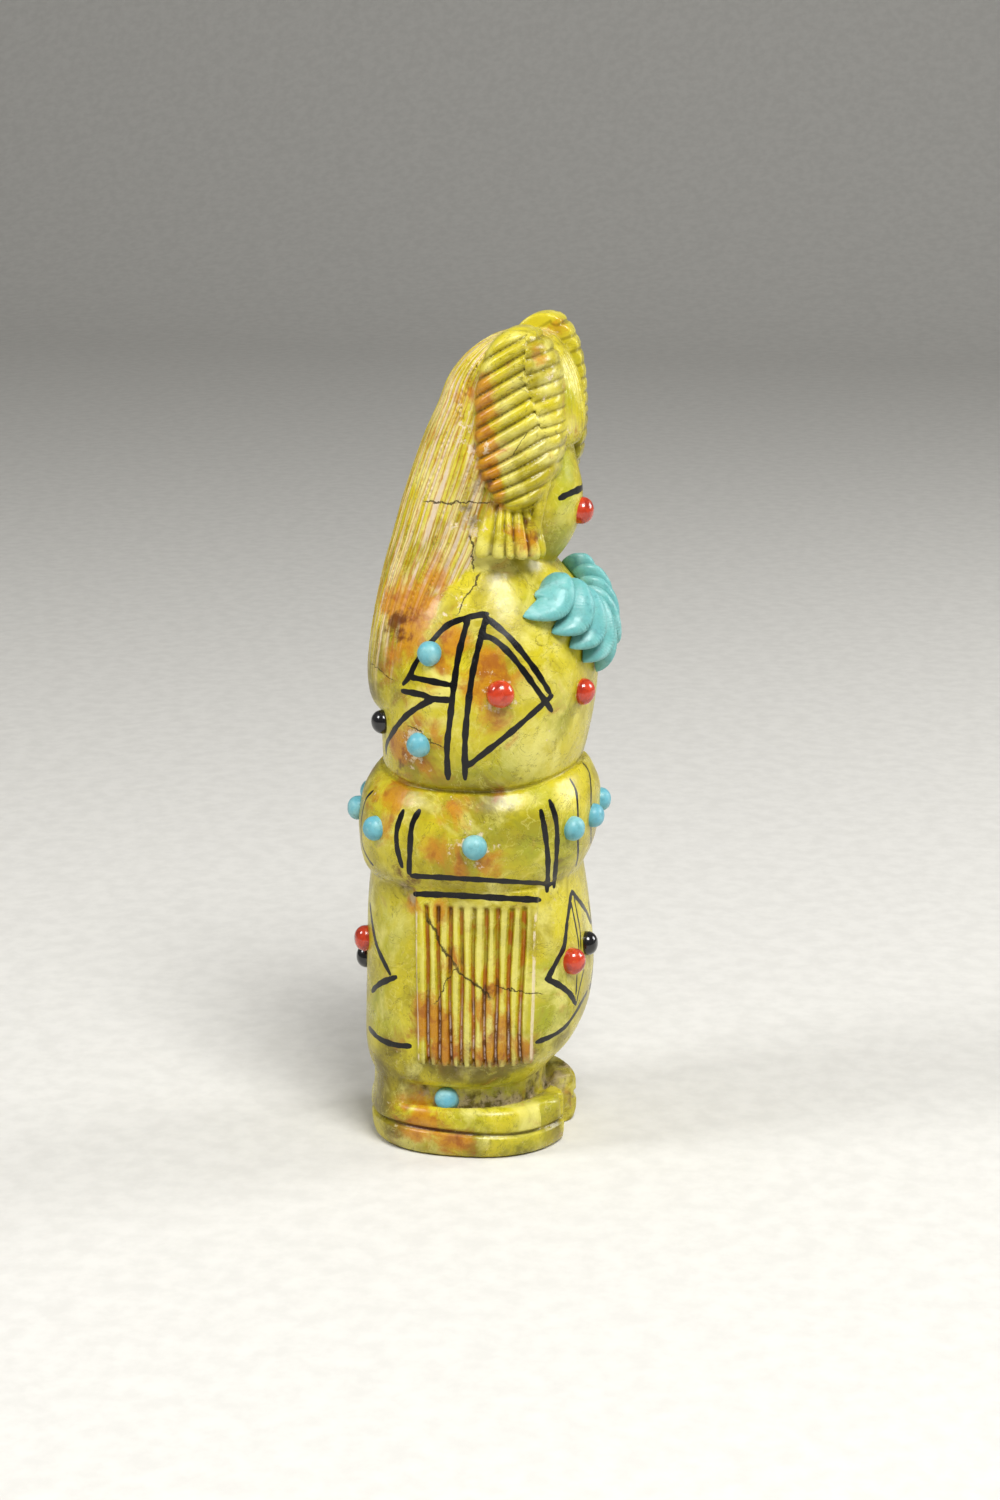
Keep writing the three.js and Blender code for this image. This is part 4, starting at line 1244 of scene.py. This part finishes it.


# The panels: pale ridges, darker brown grooves, and a painted highlight line down each side
def paintStrips(nodes, look, fine, wide, rusty):
    lane, cut = nodes.attribute("panelLane"), nodes.attribute("panel")
    uneven = nodes.swing(fine, 0.14)
    away = nodes.fromGroove(lane, uneven)
    ridge = nodes.times(cut, nodes.ramp(away, 0.28, 0.38, 0.0, 0.55))
    nodes.paint(nodes.times(ridge, nodes.math("SUBTRACT", 1.0, rusty, True)), look["pale"])
    # the panels' grooves are darkened to a brown mix of rust, deep and umber
    grooveBrown = nodes.mix(nodes.ramp(wide, 0.44, 0.6), look["rust"], look["deep"])
    grooveBrown = nodes.mix(nodes.ramp(rusty, 0.2, 0.8), grooveBrown, look["umber"])
    nodes.paint(nodes.times(nodes.ramp(away, 0.12, 0.22, 1.0, 0.0), cut), grooveBrown, 0.85)
    height = nodes.height()
    low, high = (level * mm for level in look["dusty"])
    dust = nodes.times(nodes.ramp(away, 0.02, 0.12, 1.0, 0.0), nodes.ramp(fine, 0.4, 0.55))
    dust = nodes.times(nodes.times(dust, cut), nodes.ramp(height, low, high, 1.0, 0.0))
    nodes.paint(dust, look["lilac"])
    # a painted highlight down each panel's outer edges, in the chalk colour
    half = panel["strips"] / 2
    toSide = nodes.gap(nodes.gap(lane, half), half - 0.05)
    rim = nodes.ramp(nodes.math("ADD", toSide, uneven), 0.05, 0.11, 1.0, 0.0)
    low, high = (level * mm for level in look["rim"])
    rim = nodes.times(rim, nodes.ramp(height, low, low + 0.6 * mm))
    rim = nodes.times(rim, nodes.ramp(height, high, high + 0.6 * mm, 1.0, 0.0))
    nodes.paint(nodes.times(rim, nodes.ramp(wide, 0.36, 0.46)), look["chalkAndHighlight"], 0.75)


def stoneMaterial(stone):
    look = serpentine
    nodes = Nodes("serpentine", look["main"])
    noise, ramp, paint, times = nodes.noise, nodes.ramp, nodes.paint, nodes.times
    wide, mottle = noise(230, 6, 0.66, 0.9), noise(420, 6, 0.65, 0.3)
    fine, grain = noise(900, 5, 0.7), noise(1500, 5, 0.7)

    # A patch with ragged edges: where its painted value and noise together pass a level
    def patch(name, pattern):
        low, high, spread = look["edges"][name]
        return ramp(nodes.math("ADD", nodes.attribute(name), nodes.swing(pattern, spread)), low, high)

    paint(ramp(noise(95, 5, 0.62, 0.7), 0.42, 0.66), look["deep"])
    # the pale patches are mostly painted highlights and the oliveShade ones are painted shade
    for name, share in (("green", 0.75), ("pale", 0.75), ("oliveShade", 0.9)):
        paint(patch(name, wide), look[name], share)
    paint(ramp(noise(160, 5, 0.6, 0.5), 0.5, 0.7, 0.0, 0.75), look["pale"])
    paint(ramp(mottle, 0.52, 0.78, 0.0, 0.3), look["deep"])
    paint(ramp(grain, 0.52, 0.75, 0.0, 0.2), look["shade"])
    # thin veins
    paint(ramp(nodes.gap(noise(150, 6, 0.6, 1.4), 0.5), 0.0, 0.012, 0.35, 0.0), look["pale"])
    paint(ramp(nodes.gap(noise(190, 6, 0.62, 1.1), 0.47), 0.0, 0.008, 0.6, 0.0), look["shade"])
    filled = paintStrands(nodes, look)
    rusty = patch("rust", wide)
    paint(rusty, nodes.mix(ramp(mottle, 0.44, 0.62), look["amber"], look["rust"]), 0.82)
    paint(patch("umber", mottle), look["umber"], 0.9)
    # painted shade along the middle of each rib valley on the whorls
    ribValleyShade = ramp(nodes.fromGroove(nodes.attribute("ribLane"), 0.0), 0.03, 0.18, 0.55, 0.0)
    paint(times(ribValleyShade, nodes.attribute("rib")), look["oliveShade"])
    # painted shade in the waist seam, the locks' folds and the soles' groove, turned umber where rust
    # lies
    groove = ramp(nodes.attribute("groove"), 0.35, 0.85)
    paint(groove, look["shade"], 0.65)
    paint(times(groove, rusty), look["umber"])
    paintStrips(nodes, look, fine, wide, rusty)
    # the chalk patches: glue crust round the beads, and a few painted highlights on the facet ribs
    worn, dirt = patch("chalkAndHighlight", fine), patch("soil", fine)
    paint(worn, look["chalkAndHighlight"], 0.85)
    dust = nodes.mix(ramp(mottle, 0.44, 0.6), look["soil"], look["shade"])
    paint(dirt, nodes.mix(ramp(grain, 0.5, 0.7), dust, look["crack"]), 0.9)
    paint(ramp(noise(1300, 3, 0.6), 0.7, 0.78, 0.0, 0.5), look["soil"])
    wander = nodes.swing(noise(260, 5, 0.65), 2.6 * mm)
    crack = 0.0
    for row in look["cracks"]:
        crack = nodes.math("MAXIMUM", crack, crackValue(nodes, stone, row, wander))
    paint(crack, look["crack"], 0.9)
    toLine = nodes.math("ADD", nodes.attribute("lineGap"), nodes.swing(mottle, 0.1))
    paint(ramp(toLine, -0.02, 0.03, 1.0, 0.0), look["ink"])
    rough = ramp(mottle, 0.3, 0.75, 0.24, 0.42)
    for part, extra in ((worn, 0.4), (dirt, 0.5), (crack, 0.4), (filled, 0.3)):
        rough = nodes.math("ADD", rough, times(part, extra), True)
    pits = nodes.math("ADD", times(crack, 2.0), times(nodes.math("ADD", worn, dirt), fine))
    normal = nodes.bump(nodes.math("SUBTRACT", noise(700, 5, 0.6), pits), 0.35, 0.14 * mm)
    return nodes.finish(rough, normal, look["gloss"])


turquoise = {
    "sky": tint(96, 166, 186),
    "green": tint(104, 172, 168),
    "pale": tint(164, 206, 206),
    "matrix": tint(84, 112, 90),
    # painted shade colour for the creases between petals, also used for dark mottling
    "crease": tint(40, 98, 98),
    "gloss": (0.4, 0.08, 0.15),
}


def turquoiseMaterial():
    look = turquoise
    nodes = Nodes("turquoise", look["sky"])
    noise, ramp, paint = nodes.noise, nodes.ramp, nodes.paint
    cloud, mottle = noise(330, 5, 0.6, 0.4), noise(1100, 5, 0.65)
    paint(nodes.math("ADD", nodes.attribute("tone"), nodes.swing(cloud, 1.2), True), look["green"])
    paint(ramp(cloud, 0.45, 0.75, 0.0, 0.6), look["pale"])
    paint(ramp(mottle, 0.5, 0.72, 0.0, 0.35), look["crease"])
    paint(ramp(nodes.gap(noise(500, 5, 0.6, 1.2), 0.5), 0.0, 0.012, 0.3, 0.0), look["matrix"])
    # painted shade in the creases between petals
    paint(ramp(nodes.attribute("crease"), 0.25, 0.9, 0.0, 0.85), look["crease"])
    rough = ramp(noise(900, 3), 0.3, 0.7, 0.34, 0.5)
    return nodes.finish(rough, nodes.bump(noise(1400, 4), 0.18, 0.1 * mm), look["gloss"])


coral = {
    "main": tint(196, 60, 28),
    "deep": tint(146, 34, 16),
    "pale": tint(216, 112, 70),
    "gloss": (0.5, 0.5, 0.06),
}


def coralMaterial():
    nodes = Nodes("coral", coral["main"])
    noise, ramp = nodes.noise, nodes.ramp
    nodes.paint(ramp(noise(420, 5, 0.6, 0.8), 0.4, 0.68), coral["deep"])
    nodes.paint(ramp(noise(800, 4, 0.6), 0.58, 0.75, 0.0, 0.6), coral["pale"])
    rough = ramp(noise(1100, 3), 0.3, 0.7, 0.12, 0.28)
    return nodes.finish(rough, nodes.bump(noise(1600, 4), 0.12, 0.08 * mm), coral["gloss"])


jet = {"main": tint(16, 15, 16), "worn": tint(52, 48, 46), "gloss": (0.5, 0.5, 0.05)}


def jetMaterial():
    nodes = Nodes("jet", jet["main"])
    noise, ramp = nodes.noise, nodes.ramp
    nodes.paint(ramp(noise(900, 5, 0.6), 0.55, 0.78, 0.0, 0.6), jet["worn"])
    rough = ramp(noise(1200, 4), 0.3, 0.7, 0.08, 0.24)
    return nodes.finish(rough, nodes.bump(noise(1500, 4), 0.12, 0.08 * mm), jet["gloss"])


studio = {
    "floor": tint(214, 212, 206),
    "fibre": tint(206, 204, 198),
    "floorSize": 3000.0,
    "bend": 400.0,  # radius of the floor's sweep up at the back
    "bendSteps": 24,
    "top": 1600.0,
    # each light: place, side length in mm, watts
    "lights": [
        ((-300, -200, 560), 250, 4.5), ((-230, 380, 420), 160, 1.4), ((240, -460, 260), 200, 1.4)],
    "sky": 0.2,
    "viewTransform": "Standard",
}


def makeStudio():
    size, bend, top = (studio[name] * mm for name in ("floorSize", "bend", "top"))
    size, steps = size / 2, studio["bendSteps"]
    angles = [math.pi / 2 * i / steps for i in range(steps + 1)]
    sweep = [(size * 0.5 + bend * math.sin(a), bend - bend * math.cos(a)) for a in angles]
    rows = [(-size, 0.0)] + sweep + [(size * 0.5 + bend, top)]
    points = [(along, side, height) for along, height in rows for side in (-size, size)]
    faces = [(2 * i, 2 * i + 2, 2 * i + 3, 2 * i + 1) for i in range(len(rows) - 1)]
    mesh = bpy.data.meshes.new("floor")
    mesh.from_pydata(points, [], faces)
    mesh.shade_smooth()
    floor = bpy.data.objects.new("floor", mesh)
    bpy.context.scene.collection.objects.link(floor)
    nodes = Nodes("paperFloor", studio["floor"])
    fibre = nodes.noise(300, 4, 0.6)
    nodes.paint(nodes.ramp(fibre, 0.3, 0.7), studio["fibre"])
    floor.data.materials.append(nodes.finish(0.8, nodes.bump(fibre, 0.1, 0.1 * mm)))
    floor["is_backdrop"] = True
    target = Vector(camera["target"]) * mm
    for i, (place, side, watts) in enumerate(studio["lights"]):
        light = bpy.data.lights.new(f"softBox{i}", "AREA")
        light.energy, light.size = watts, side * mm
        obj = bpy.data.objects.new(f"softBox{i}", light)
        obj.location = Vector(place) * mm
        obj.rotation_euler = (obj.location - target).to_track_quat("Z", "Y").to_euler()
        bpy.context.scene.collection.objects.link(obj)
    world = bpy.data.worlds.new("studioLight")
    world.use_nodes = True
    sky = world.node_tree.nodes["Background"]
    sky.inputs["Color"].default_value = (1, 1, 1, 1)
    sky.inputs["Strength"].default_value = studio["sky"]
    bpy.context.scene.world = world
    bpy.context.scene.view_settings.view_transform = studio["viewTransform"]


def makeCamera():
    data = bpy.data.cameras.new("photographView")
    data.lens, data.sensor_width, data.sensor_fit = camera["lens"], camera["sensor"], "AUTO"
    data.clip_start = 0.01
    obj = bpy.data.objects.new("photographView", data)
    obj.location = Vector(camera["place"]) * mm
    ahead = Vector(camera["target"]) - Vector(camera["place"])
    obj.rotation_euler = ahead.to_track_quat("-Z", "Y").to_euler()
    bpy.context.scene.collection.objects.link(obj)
    bpy.context.scene.camera = obj


makeCamera()
makeStudio()
print("studio is set")

stone = makeStone()
stone.data.materials.append(stoneMaterial(stone))
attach(stone, "root")
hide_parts("stone_figure")
print("stone is carved:", len(stone.data.polygons), "faces")

turquoiseLook = turquoiseMaterial()
collar = makeNecklace()
collar.data.materials.append(turquoiseLook)
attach(collar, "root")
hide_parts("turquoise_necklace")

looks = {"turquoise": turquoiseLook, "coral": coralMaterial(), "jet": jetMaterial()}
for seed, (kind, look) in enumerate(looks.items()):
    beads, nodesReplaced = makeBeads(kind, look, seed + 3)
    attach(beads, "root")
    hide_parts(*nodesReplaced)
print("beads are set")

bpy.context.view_layer.update()
boxes = {"cad": cadBox, "visual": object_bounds()}
sizes = {name: [list(corner) for corner in box] for name, box in boxes.items()}
